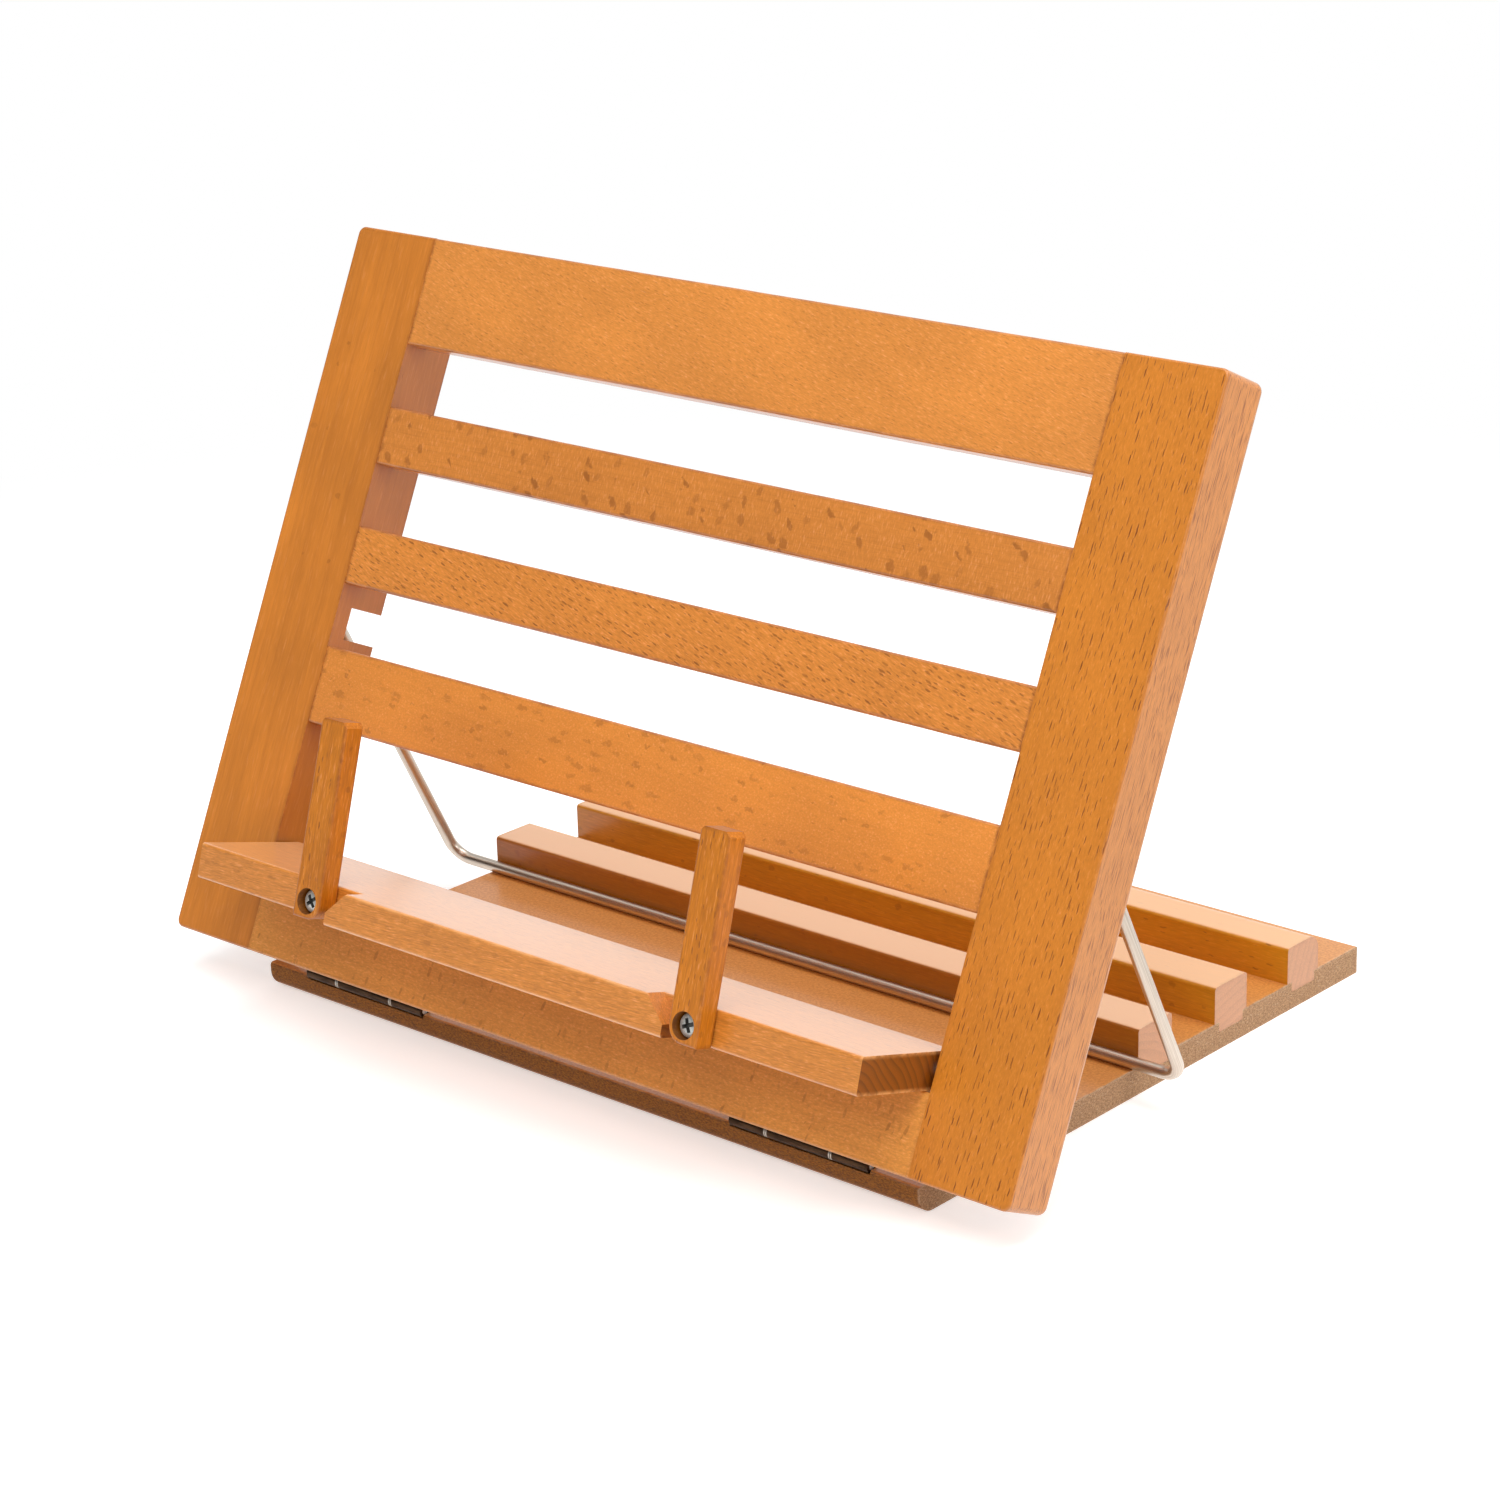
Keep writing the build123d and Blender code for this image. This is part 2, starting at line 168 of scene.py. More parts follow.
def makeRayGroup():
    tree, given, out = newGroup("ray flecks", {
        "Vector": (0, 0, 0), "Spacing": (7, 6, 1.6), "Half Size": (1.6, 2, 0.22), "Amount": 0.6, "Crook": 0.5,
        "Slope": 0.0,
    }, ["Flecks"])
    cells = vectorCalc(tree, "DIVIDE", given["Vector"], given["Spacing"])
    voronoi = add(tree, "ShaderNodeTexVoronoi", voronoi_dimensions="3D", feature="F1")
    fill(tree, voronoi, Vector=cells, Scale=1.0, Randomness=1.0)
    offset = vectorCalc(tree, "SUBTRACT", cells, voronoi.outputs["Position"])
    inMillimetres = vectorCalc(tree, "MULTIPLY", offset, given["Spacing"])
    chance = separate(tree, voronoi.outputs["Color"])
    wander = add(tree, "ShaderNodeTexNoise", noise_dimensions="3D")
    fill(tree, wander, Vector=vectorCalc(tree, "DIVIDE", given["Vector"], ray["wriggle"]), Scale=1.0, Detail=1.5)
    push = vectorCalc(tree, "SUBTRACT", wander.outputs["Color"], (0.5, 0.5, 0.5))
    bent = vectorCalc(tree, "SCALE", vectorCalc(tree, "MULTIPLY", push, ray["wriggleShare"]), given["Crook"])
    offsets = separate(tree, inMillimetres)
    slope = times(tree, minus(tree, chance[1], ray["level"]), given["Slope"])
    lopsided = times(tree, slope, calc(tree, "ADD", offsets[1], offsets[2]))
    sloped = vectorCalc(tree, "ADD", vectorCalc(tree, "ADD", inMillimetres, bent), combine(tree, lopsided, 0.0, 0.0))
    shaped = vectorCalc(tree, "DIVIDE", sloped, given["Half Size"])
    size = calc(tree, "MULTIPLY_ADD", chance[2], ray["growth"], ray["shortest"])
    reach = calc(tree, "DIVIDE", vectorCalc(tree, "LENGTH", shaped), size)
    body = ramp(tree, reach, 1.0, ray["fadeFrom"])
    there = calc(tree, "LESS_THAN", chance[0], given["Amount"])
    strength = calc(tree, "MULTIPLY_ADD", chance[1], 1 - ray["faintest"], ray["faintest"])
    feed(tree, out["Flecks"], times(tree, body, there, strength))
    return tree


# Shared effect: timber as a solid, rings round a pith that lies outside the piece

timber = {
    "seedStep": (53.1, 17.3, 29.7),
    # millimetres that one lump of noise takes along the grain, towards the pith and around it, then its detail and
    # its roughness
    "sway": ((70, 22, 22), 2.0, 0.5),
    "ring": ((90, 3.5, 30), 1.0, 0.5),
    "streak": ((42, 1.6, 1.6), 3.0, 0.6),
    "line": ((10, 0.34, 0.34), 1.0, 0.5),
    "figure": ((48, 30, 30), 2.0, 0.5),
    "fibre": (2.0, 0.6),       # its lumps are given by each board
    "lateWood": 2.4,           # how suddenly a ring darkens, and how sharply it stops
    "ringStop": 7.0,
    "endGrain": (0.75, 0.95),  # how far a face is turned to the grain where its end grain starts and is whole
}


def makeGrainGroup(rays):
    tree, given, out = newGroup("beech grain", {
        "Vector": (0, 0, 0), "Normal": (0, 0, 1), "Pith Depth": 80.0, "Pith Height": 20.0, "Ring Width": 2.6,
        "Waver": 1.5, "Seed": 1.0, "Ray Spacing": (7, 6, 1.6), "Ray Half Size": (1.6, 2, 0.22), "Ray Amount": 0.6,
        "Ray Crook": 0.5, "Ray Slope": 0.0, "Fibre Size": (2.6, 0.45, 0.45),
    }, ["Rings", "Streaks", "Fibre", "Lines", "Figure", "Flecks", "Across Rays", "End"])
    place = vectorCalc(tree, "SCALE", given["Vector"], perMetre)
    shift = vectorCalc(tree, "SCALE", timber["seedStep"], given["Seed"])
    shifted = vectorCalc(tree, "ADD", place, shift)
    sway = times(tree, minus(tree, cloud(tree, shifted, *timber["sway"]), 0.5), given["Waver"])
    x, y, z = separate(tree, place)
    depth = minus(tree, calc(tree, "ADD", y, sway), given["Pith Depth"])
    height = minus(tree, calc(tree, "ADD", z, sway), given["Pith Height"])
    radius = vectorCalc(tree, "LENGTH", combine(tree, 0.0, depth, height))
    across = minus(tree, times(tree, given["Pith Height"], depth), times(tree, given["Pith Depth"], height))
    around = calc(tree, "DIVIDE", across, radius)
    polar = vectorCalc(tree, "ADD", combine(tree, x, radius, around), shift)
    turns = calc(tree, "DIVIDE", radius, given["Ring Width"])
    saw = calc(tree, "FRACT", calc(tree, "ADD", turns, cloud(tree, polar, *timber["ring"])))
    stop = times(tree, minus(tree, 1.0, saw), timber["ringStop"])
    feed(tree, out["Rings"], calc(tree, "MINIMUM", calc(tree, "POWER", saw, timber["lateWood"]), stop))
    feed(tree, out["Streaks"], cloud(tree, polar, *timber["streak"]))
    feed(tree, out["Fibre"], cloud(tree, polar, given["Fibre Size"], *timber["fibre"]))
    feed(tree, out["Lines"], cloud(tree, polar, *timber["line"]))
    feed(tree, out["Figure"], cloud(tree, shifted, *timber["figure"]))
    main = useGroup(tree, rays, Vector=polar, Spacing=given["Ray Spacing"],
                    Half_Size=given["Ray Half Size"], Amount=given["Ray Amount"], Crook=given["Ray Crook"],
                    Slope=given["Ray Slope"])
    feed(tree, out["Flecks"], main["Flecks"])
    outward = vectorCalc(tree, "NORMALIZE", combine(tree, 0.0, depth, height))
    feed(tree, out["Across Rays"], calc(tree, "ABSOLUTE", vectorCalc(tree, "DOT_PRODUCT", outward, given["Normal"])))
    facing = calc(tree, "ABSOLUTE", separate(tree, given["Normal"])[0])
    feed(tree, out["End"], ramp(tree, facing, *timber["endGrain"]))
    return tree


# Shared effect: how near a point is to one of the long edges of its piece, broken up in patches

edgePatching = {
    "patch": ((9, 4, 4), 4.0, 0.65),  # millimetres, detail and roughness
    "spread": (0.36, 0.62),           # where in the noise the wear starts and is whole
}


def makeEdgeGroup():
    tree, given, out = newGroup("edge marks", {
        "Vector": (0, 0, 0), "Half Size": (0.1, 0.1, 0.1), "Reach": 1.2, "Break Up": 0.6,
    }, ["Edge"])
    fromCentre = vectorCalc(tree, "ABSOLUTE", given["Vector"])
    inside = vectorCalc(tree, "ABSOLUTE", vectorCalc(tree, "SUBTRACT", given["Half Size"], fromCentre))
    x, y, z = separate(tree, inside)
    second = calc(tree, "MAXIMUM", calc(tree, "MINIMUM", x, y),
                  calc(tree, "MINIMUM", calc(tree, "MAXIMUM", x, y), z))
    near = ramp(tree, times(tree, second, perMetre), given["Reach"], 0.0)
    place = vectorCalc(tree, "SCALE", given["Vector"], perMetre)
    patches = ramp(tree, cloud(tree, place, *edgePatching["patch"]), *edgePatching["spread"])
    kept = minus(tree, 1.0, times(tree, given["Break Up"], minus(tree, 1.0, patches)))
    feed(tree, out["Edge"], times(tree, near, kept))
    return tree


# Shared effect: pressed wood fibre, layered through the board's thickness

pressing = {
    "lumpNoise": (4.0, 0.65),  # detail and roughness
    "strandNoise": (3.0, 0.6),
    "lumpHeight": 0.45,        # lumps and strands are pressed flat, as shares of their widths
    "strandLength": 5.0,
    "strandHeight": 0.6,
    "speckScale": 0.7,
    "speckShare": 0.16,        # how many of the cells hold a speck
    "speck": (0.34, 0.12),     # where in its cell a speck ends and is whole
}


def makeFibreGroup():
    tree, given, out = newGroup("pressed fibre", {
        "Vector": (0, 0, 0), "Lump": 1.4, "Strand": 0.45,
    }, ["Lumps", "Strands", "Specks"])
    place = vectorCalc(tree, "SCALE", given["Vector"], perMetre)
    lump, strand = given["Lump"], given["Strand"]
    flat = combine(tree, lump, lump, times(tree, lump, pressing["lumpHeight"]))
    feed(tree, out["Lumps"], cloud(tree, place, flat, *pressing["lumpNoise"]))
    thin = combine(tree, times(tree, strand, pressing["strandLength"]), strand,
                   times(tree, strand, pressing["strandHeight"]))
    feed(tree, out["Strands"], cloud(tree, place, thin, *pressing["strandNoise"]))
    voronoi = add(tree, "ShaderNodeTexVoronoi", voronoi_dimensions="3D", feature="F1")
    fill(tree, voronoi, Vector=vectorCalc(tree, "DIVIDE", place, flat), Scale=pressing["speckScale"], Randomness=1.0)
    rare = calc(tree, "LESS_THAN", separate(tree, voronoi.outputs["Color"])[0], pressing["speckShare"])
    dot = ramp(tree, voronoi.outputs["Distance"], *pressing["speck"])
    feed(tree, out["Specks"], times(tree, rare, dot))
    return tree


# Shared effect: metal that has been handled, dull patches and small scuffs

tarnish = {
    "noise": (3.0, 0.55),     # detail and roughness
    "spread": (0.35, 0.7),    # where in the noise the dullness starts and is whole
    "scuff": (0.9, 0.9, 0.9),
}


def makeHandledGroup():
    tree, given, out = newGroup("handled metal", {
        "Vector": (0, 0, 0), "Patch Size": (6, 6, 6),
    }, ["Patches", "Scuffs"])
    place = vectorCalc(tree, "SCALE", given["Vector"], perMetre)
    patches = cloud(tree, place, given["Patch Size"], *tarnish["noise"])
    feed(tree, out["Patches"], ramp(tree, patches, *tarnish["spread"]))
    feed(tree, out["Scuffs"], cloud(tree, place, tarnish["scuff"]))
    return tree


rayGroup = makeRayGroup()
grainGroup = makeGrainGroup(rayGroup)
edgeGroup = makeEdgeGroup()
fibreGroup = makeFibreGroup()
handledGroup = makeHandledGroup()
print("shared effects are built:", len(bpy.data.node_groups), "groups")


def turned(tree, angles, centre=(0, 0, 0)):
    # Object coordinates from the piece's centre, X along the grain, Y into the piece and Z across its face
    node = add(tree, "ShaderNodeMapping", vector_type="POINT")
    return fill(tree, node, Vector=add(tree, "ShaderNodeTexCoord").outputs["Object"], Location=[-c for c in centre],
                Rotation=[math.radians(a) for a in angles]).outputs[0]


def turnedNormal(tree, angles):
    node = add(tree, "ShaderNodeMapping", vector_type="NORMAL")
    return fill(tree, node, Vector=add(tree, "ShaderNodeTexCoord").outputs["Normal"],
                Rotation=[math.radians(a) for a in angles]).outputs[0]


def turnedBox(node, angles):
    turn = Euler([math.radians(a) for a in angles]).to_matrix()
    points = [turn @ vertex.co for vertex in cadNodes[node].data.vertices]
    low = Vector([min(p[i] for p in points) for i in range(3)])
    high = Vector([max(p[i] for p in points) for i in range(3)])
    return (low + high) / 2, (high - low) / 2


def emptyTree(owner):
    owner.use_nodes = True
    owner.node_tree.nodes.clear()
    return owner.node_tree


def newMaterial(name):
    material = bpy.data.materials.new(name)
    tree = emptyTree(material)
    surface = add(tree, "ShaderNodeBsdfPrincipled")
    fill(tree, add(tree, "ShaderNodeOutputMaterial"), Surface=surface.outputs[0])
    return material, tree, surface


def bump(tree, height, distance):
    return fill(tree, add(tree, "ShaderNodeBump"), Height=height, Distance=distance).outputs[0]


def dress(names, material):
    for name in names:
        slots = cadNodes[name].data.materials
        slots.clear()
        slots.append(material)


# Stained and varnished beech. Every piece has its own board, so its own rings, rays and tone.

beech = {
    "light": paint(222, 136, 48),
    "dark": paint(180, 102, 24),
    "fleck": paint(128, 64, 0),
    "line": paint(150, 80, 14),
    "paintedShade": paint(112, 54, 0),
    # painted shade for the side of a board that lies in shade
    "pale": paint(252, 200, 154),
    "edgeDark": paint(132, 66, 18),
    # painted highlight for the ledge's eased edges
    "paintedEdgeHighlight": paint(240, 172, 104),
    "edgeReach": 1.4,        # millimetres
    "edgeBreaks": 0.7,
    "roughness": 0.36,
    "roughnessSpread": 0.12,
    "coatRoughness": 0.22,
    "reliefHeight": 0.00005,
    "waver": 3.0,            # millimetres that the rings stray from a circle
    "endGrit": 0.2,          # how uneven the end grain is
    # where each effect starts and is whole, in its own noise or in how far the face is turned
    "streakRange": (0.3, 0.7),
    "shineRange": (0.55, 0.85),
    "lineRange": (0.5, 0.72),
    "rayRange": (0.3, 0.9),
    "paintedShadeRange": (-0.7, -0.95),
    "topRange": (0.7, 0.95),
    "boreEdge": (0.1, -0.02),  # millimetres past the bore's radius
}

# turn lays the grain along X, and pith is in millimetres from the piece's centre. fibre, spacing and half, which is
# half a ray's size, are in millimetres along the grain, towards the pith and around it. amount is the share of places
# that have a ray, side how much of the rays shows on faces that lie along them, and depth how dark they are.
plainBoard = {"coat": 1.0, "shine": 0.28, "lines": 0.2, "depth": 0.75, "slope": 0.0, "lustre": 0.0, "paintedTopSheen": 0.0,
              "edge": ("edgeDark", 0.85), "endRings": 0.3}
slatBoard = {**plainBoard, "end": paint(200, 130, 80)}
stileBoard = {**plainBoard, "end": paint(214, 148, 96)}
holderBoard = {
    **plainBoard,
    "turn": (ledgeLean, 90, 0), "ring": 2.2, "tone": (0.82, 0.75, 0.06), "coat": 0.12, "rings": 0.3, "streaks": 0.5,
    "fibre": (5.0, 0.5, 0.5), "grit": 0.4, "figure": 0.2, "spacing": (4, 3, 1.8), "half": (1.2, 1.5, 0.25),
    "amount": 0.8, "crook": 0.5, "side": 0.5, "edge": ("edgeDark", 0.6), "end": paint(176, 104, 36),
}
# painted shade, with some scorching, inside the page holders' counterbores
counterbore = {"radius": 4.0, "share": 0.65, "colour": paint(70, 36, 8)}
battenBoard = {
    **plainBoard,
    "turn": (0, 0, 0), "ring": 3.0, "tone": (0.92, 1.08, 0.22), "coat": 0.5, "rings": 0.1, "streaks": 0.16,
    "fibre": (4.0, 0.5, 0.5), "grit": 0.2, "figure": 0.16, "shine": 0.1, "spacing": (6, 3.5, 2.6),
    "half": (1.3, 2.0, 0.24), "amount": 0.5, "crook": 0.6, "side": 0.5, "edge": ("edgeDark", 0.2),
    "end": paint(208, 146, 102), "endRings": 0.12,
}
boards = {
    # the left stile's inner face gets painted shade
    "left_stile": {**stileBoard, "turn": (lean, 90, 0), "pith": (-22, -95), "seed": 3, "ring": 7.0,
                   "tone": (0.9, 0.86, 0.56), "coat": 0.6, "rings": 0.4, "streaks": 0.22, "lines": 0.12,
                   "fibre": (6.0, 0.7, 0.7), "grit": 0.1, "figure": 0.34, "shine": 0.1, "paintedShadeSide": 0.24,
                   "spacing": (7, 3.5, 2.6), "half": (0.9, 1.8, 0.13), "amount": 0.15, "crook": 0.5, "side": 0.5,
                   "edge": ("edgeDark", 0.4)},
    "right_stile": {**stileBoard, "turn": (lean, 87, 0), "pith": (120, 12), "seed": 8, "ring": 3.2,
                    "tone": (0.87, 0.84, 0.42), "coat": 0.5, "rings": 0.05, "streaks": 0.16, "lines": 1.0,
                    "fibre": (1.8, 0.45, 0.45), "grit": 0.22, "figure": 0.12, "shine": 0.12, "lustre": 0.09,
                    "spacing": (4.4, 4.0, 1.7), "half": (1.9, 2.6, 0.18), "amount": 0.95, "depth": 1.0,
                    "crook": 0.4, "side": 0.05, "edge": ("edgeDark", 0.25)},
    # painted light: the bottom rail's tone is lifted against the shade under the ledge
    "bottom_rail": {**slatBoard, "turn": (lean, 0, 0), "pith": (90, -60), "seed": 5, "ring": 3.5,
                    "tone": (1.04, 1.22, 1.6), "coat": 0.5, "rings": 0.12, "streaks": 0.25,
                    "fibre": (1.3, 0.5, 0.5), "grit": 0.34, "figure": 0.22,
                    "spacing": (5.2, 3.5, 4.0), "half": (0.6, 1.8, 1.6), "amount": 0.6, "depth": 0.42,
                    "crook": 1.6, "slope": 1.4, "side": 0.8, "edge": ("edgeDark", 0.3)},
    "lower_rail": {**slatBoard, "turn": (lean, -4, 0), "pith": (100, 70), "seed": 11, "ring": 4.0,
                   "tone": (1.02, 1.03, 1.05), "rings": 0.06, "streaks": 0.14,
                   "fibre": (0.7, 0.5, 0.5), "grit": 0.24, "figure": 0.2,
                   "spacing": (7.4, 3.4, 4.0), "half": (2.6, 2.0, 0.75), "amount": 0.75, "depth": 0.36,
                   "crook": 2.8, "side": 1.0},
    "lower_slat": {**slatBoard, "turn": (lean, -17, 0), "pith": (150, -40), "seed": 14, "ring": 2.4,
                   "tone": (0.98, 0.99, 1), "rings": 0.1, "streaks": 0.2,
                   "fibre": (2.4, 0.42, 0.42), "grit": 0.42, "figure": 0.12,
                   "spacing": (3.4, 3.4, 1.8), "half": (1.35, 2.4, 0.26), "amount": 0.9, "crook": 0.5, "side": 0.6},
    "upper_slat": {**slatBoard, "turn": (lean, 0, 0), "pith": (6, -120), "seed": 19, "ring": 1.9,
                   "tone": (0.9, 0.9, 0.9), "rings": 0.1, "streaks": 0.2, "lines": 0.15,
                   "fibre": (0.45, 2.2, 0.5), "grit": 0.26, "figure": 0.12,
                   "spacing": (6.4, 5.0, 4.2), "half": (1.7, 2.3, 2.1), "amount": 0.5, "depth": 0.7,
                   "crook": 3.4, "slope": 1.8, "side": 0.85},
    "top_rail": {**slatBoard, "turn": (lean, -15, 0), "pith": (140, 60), "seed": 23, "ring": 2.8,
                 "tone": (1.0, 1.06, 1.3), "rings": 0.03, "streaks": 0.1,
                 "fibre": (2.0, 0.4, 0.4), "grit": 0.3, "figure": 0.18,
                 "spacing": (2.2, 2.4, 0.95), "half": (0.95, 1.5, 0.15), "amount": 0.7, "depth": 0.34,
                 "crook": 0.3, "side": 0.3, "edge": ("edgeDark", 0.75)},
    "ledge": {**plainBoard, "turn": (ledgeLean, 3, 0), "pith": (-32, -40), "seed": 29, "ring": 2.3,
              "tone": (0.95, 0.98, 0.95), "rings": 0.12, "streaks": 0.25, "lines": 0.3,
              "fibre": (3.0, 0.45, 0.45), "grit": 0.42, "figure": 0.1,
              "spacing": (4.2, 3.4, 1.5), "half": (2.0, 2.4, 0.17), "amount": 0.8, "depth": 0.6, "crook": 0.6,
              "side": 0.4, "paintedTopSheen": 0.36, "edge": ("paintedEdgeHighlight", 0.8), "end": paint(136, 70, 0), "endRings": 0.62},
    "left_page_holder": {**holderBoard, "pith": (-170, 30), "seed": 31,
                         "bore": {**counterbore, "at": (0.010616, 0.077)}},
    "right_page_holder": {**holderBoard, "pith": (-190, 20), "seed": 37,
                          "bore": {**counterbore, "at": (0.010616, -0.077)}},
    # painted shade: the front batten's tone is darker for the shade on its front
    "front_batten": {**battenBoard, "pith": (-30, -70), "seed": 41, "tone": (0.6, 0.57, 0.06), "coat": 0.45,
                     "shine": 0.06, "paintedTopSheen": 0.88},
    "middle_batten": {**battenBoard, "pith": (20, -90), "seed": 43, "paintedTopSheen": 0.7},
    "rear_batten": {**battenBoard, "pith": (140, -60), "seed": 47, "paintedTopSheen": 0.74},
}


def toned(colour, tone):
    return [c * t for c, t in zip(colour, tone)] + [1.0]


def uneven(tree, noise, share):
    # a factor a little under and over 1
    return calc(tree, "MULTIPLY_ADD", minus(tree, noise, 0.5), 2 * share, 1.0)


def beechMaterial(node, board):
    material, tree, surface = newMaterial("beech_" + node)
    centre = turnedBox(node, board["turn"])[0]
    along = turned(tree, board["turn"], centre)
    grain = useGroup(tree, grainGroup, Vector=along, Normal=turnedNormal(tree, board["turn"]),
                     Pith_Depth=board["pith"][0], Pith_Height=board["pith"][1],
                     Ring_Width=board["ring"], Waver=beech["waver"], Seed=board["seed"], Ray_Spacing=board["spacing"],
                     Ray_Half_Size=board["half"], Ray_Amount=board["amount"], Ray_Crook=board["crook"],
                     Ray_Slope=board["slope"], Fibre_Size=board["fibre"])
    streaks = ramp(tree, grain["Streaks"], *beech["streakRange"], 0.0, board["streaks"])
    darkness = calc(tree, "MAXIMUM", streaks, times(tree, grain["Rings"], board["rings"]))
    colour = blendColour(tree, darkness, toned(beech["light"], board["tone"]), toned(beech["dark"], board["tone"]))
    shade = times(tree, uneven(tree, grain["Fibre"], board["grit"]), uneven(tree, grain["Figure"], board["figure"]))
    shown = ramp(tree, grain["Across Rays"], *beech["rayRange"], board["side"], 1.0)
    aslant = minus(tree, 1.0, ramp(tree, grain["Across Rays"], *beech["rayRange"]))
    lines = times(tree, ramp(tree, grain["Lines"], *beech["lineRange"], 0.0, board["lines"]), aslant)
    colour = vectorCalc(tree, "SCALE", colour, shade)
    if "paintedShadeSide" in board:
        # painted shade: one side of the board, the left stile's inner face, is darkened for the shade that falls on it
        facing = separate(tree, turnedNormal(tree, board["turn"]))[2]
        paintedShade = ramp(tree, facing, *beech["paintedShadeRange"], 0.0, board["paintedShadeSide"])
        colour = blendColour(tree, paintedShade, colour, beech["paintedShade"])
    lustre = ramp(tree, grain["Across Rays"], *beech["rayRange"][::-1], 0.0, board["lustre"])
    colour = blendColour(tree, lustre, colour, beech["pale"])
    shine = ramp(tree, grain["Fibre"], *beech["shineRange"], 0.0, board["shine"])
    colour = blendColour(tree, shine, colour, beech["pale"])
    colour = blendColour(tree, lines, colour, beech["line"])
    flecks = times(tree, grain["Flecks"], shown, board["depth"])
    colour = blendColour(tree, flecks, colour, beech["fleck"])
    endRings = calc(tree, "MULTIPLY_ADD", grain["Rings"], -board["endRings"], 1.0)
    endColour = vectorCalc(tree, "SCALE", board["end"][:3], endRings)
    endColour = vectorCalc(tree, "SCALE", endColour, uneven(tree, grain["Fibre"], beech["endGrit"]))
    colour = blendColour(tree, grain["End"], colour, endColour)
    plainTurn = (0, 0, 0) if node.endswith("batten") else (board["turn"][0], 0, 0)
    boxCentre, boxHalf = turnedBox(node, plainTurn)
    edgeMark = useGroup(tree, edgeGroup, Vector=turned(tree, plainTurn, boxCentre), Half_Size=boxHalf,
                    Reach=beech["edgeReach"], Break_Up=beech["edgeBreaks"])
    # painted sheen: faces that look up are blended towards pale, for the varnish's glare on the tops of the ledge and
    # battens
    up = separate(tree, turnedNormal(tree, plainTurn))[2]
    paintedHighlight = ramp(tree, up, *beech["topRange"], 0.0, board["paintedTopSheen"])
    colour = blendColour(tree, paintedHighlight, colour, beech["pale"])
    if "bore" in board:
        # painted shade and scorched wood, dark inside the counterbore, which runs along Y through this place in X and Z
        bore = board["bore"]
        boreX, boreZ = bore["at"]
        sides = separate(tree, along)
        aside, above = minus(tree, sides[0], boreX - centre.x), minus(tree, sides[2], boreZ - centre.z)
        fromAxis = times(tree, vectorCalc(tree, "LENGTH", combine(tree, aside, 0.0, above)), perMetre)
        outer, inner = [bore["radius"] + past for past in beech["boreEdge"]]
        inside = ramp(tree, fromAxis, outer, inner, 0.0, bore["share"])
        colour = blendColour(tree, inside, colour, bore["colour"])
    # darker along the edges on most boards; on the ledge, a painted highlight along its eased edges
    edgeColour, edgeShare = board["edge"]
    colour = blendColour(tree, times(tree, edgeMark["Edge"], edgeShare), colour, beech[edgeColour])
    relief = bump(tree, minus(tree, times(tree, grain["Fibre"], 0.5), flecks), beech["reliefHeight"])
    rough = calc(tree, "MULTIPLY_ADD", grain["Fibre"], beech["roughnessSpread"], beech["roughness"])
    fill(tree, surface, Base_Color=colour, Roughness=rough, Normal=relief, Coat_Weight=board["coat"],
         Coat_Roughness=beech["coatRoughness"])
    return material


finishes = {node: beechMaterial(node, board) for node, board in boards.items()}
for node, finish in finishes.items():
    dress([node], finish)
print("beech is on", len(boards), "pieces")


# Unvarnished pegs inside the joints

peg = {"light": paint(226, 190, 140), "dark": paint(190, 148, 98), "roughness": 0.65, "pith": (60.0, 40.0),
       "seed": 51.0, "reliefHeight": 0.00003}


def pegMaterial():
    material, tree, surface = newMaterial("bare_beech")
    along = turned(tree, (lean, 0, 0))
    pithDepth, pithHeight = peg["pith"]
    grain = useGroup(tree, grainGroup, Vector=along, Pith_Depth=pithDepth, Pith_Height=pithHeight, Seed=peg["seed"])
    colour = blendColour(tree, ramp(tree, grain["Streaks"], *beech["streakRange"]), peg["light"], peg["dark"])
    relief = bump(tree, grain["Fibre"], peg["reliefHeight"])
    fill(tree, surface, Base_Color=colour, Roughness=peg["roughness"], Normal=relief)
    return material


dress(["frame_dowels"], pegMaterial())
print("the pegs are bare wood")


# Fibreboard: stained on its faces, brown along its front and back, pale on its sawn ends

fibreboard = {
    "stain": paint(224, 152, 74),
    "stainDark": paint(186, 113, 48),
    "front": paint(170, 104, 26),
    "frontDark": paint(104, 60, 10),
    "sawn": paint(206, 164, 122),
    "sawnDark": paint(150, 108, 72),
    "speck": paint(226, 200, 170),
    "lump": 0.9,               # millimetres
    "strand": 0.35,
    "faceRange": (0.55, 0.9),  # how far a side is turned up or down where it counts as a face
    "sawnRange": (0.4, 0.8),   # and to the left or right where it is the paler kind
    "lumpRange": (0.32, 0.68),
    "stainRange": (0.35, 0.65),
    "stainPatches": 0.6,       # how much of the darker stain shows
    "specks": 0.7,
    "edgeReach": 0.9,          # millimetres
    "edgeBreaks": 0.9,
    "edgeMark": 0.35,
    "reliefHeight": 0.00025,
    "faceRelief": 0.2,         # the stained faces are smoother than the sides
    "faceRoughness": 0.5,
    "sideRoughness": 0.75,
    "coat": 0.6,
    "coatRoughness": 0.25,
}


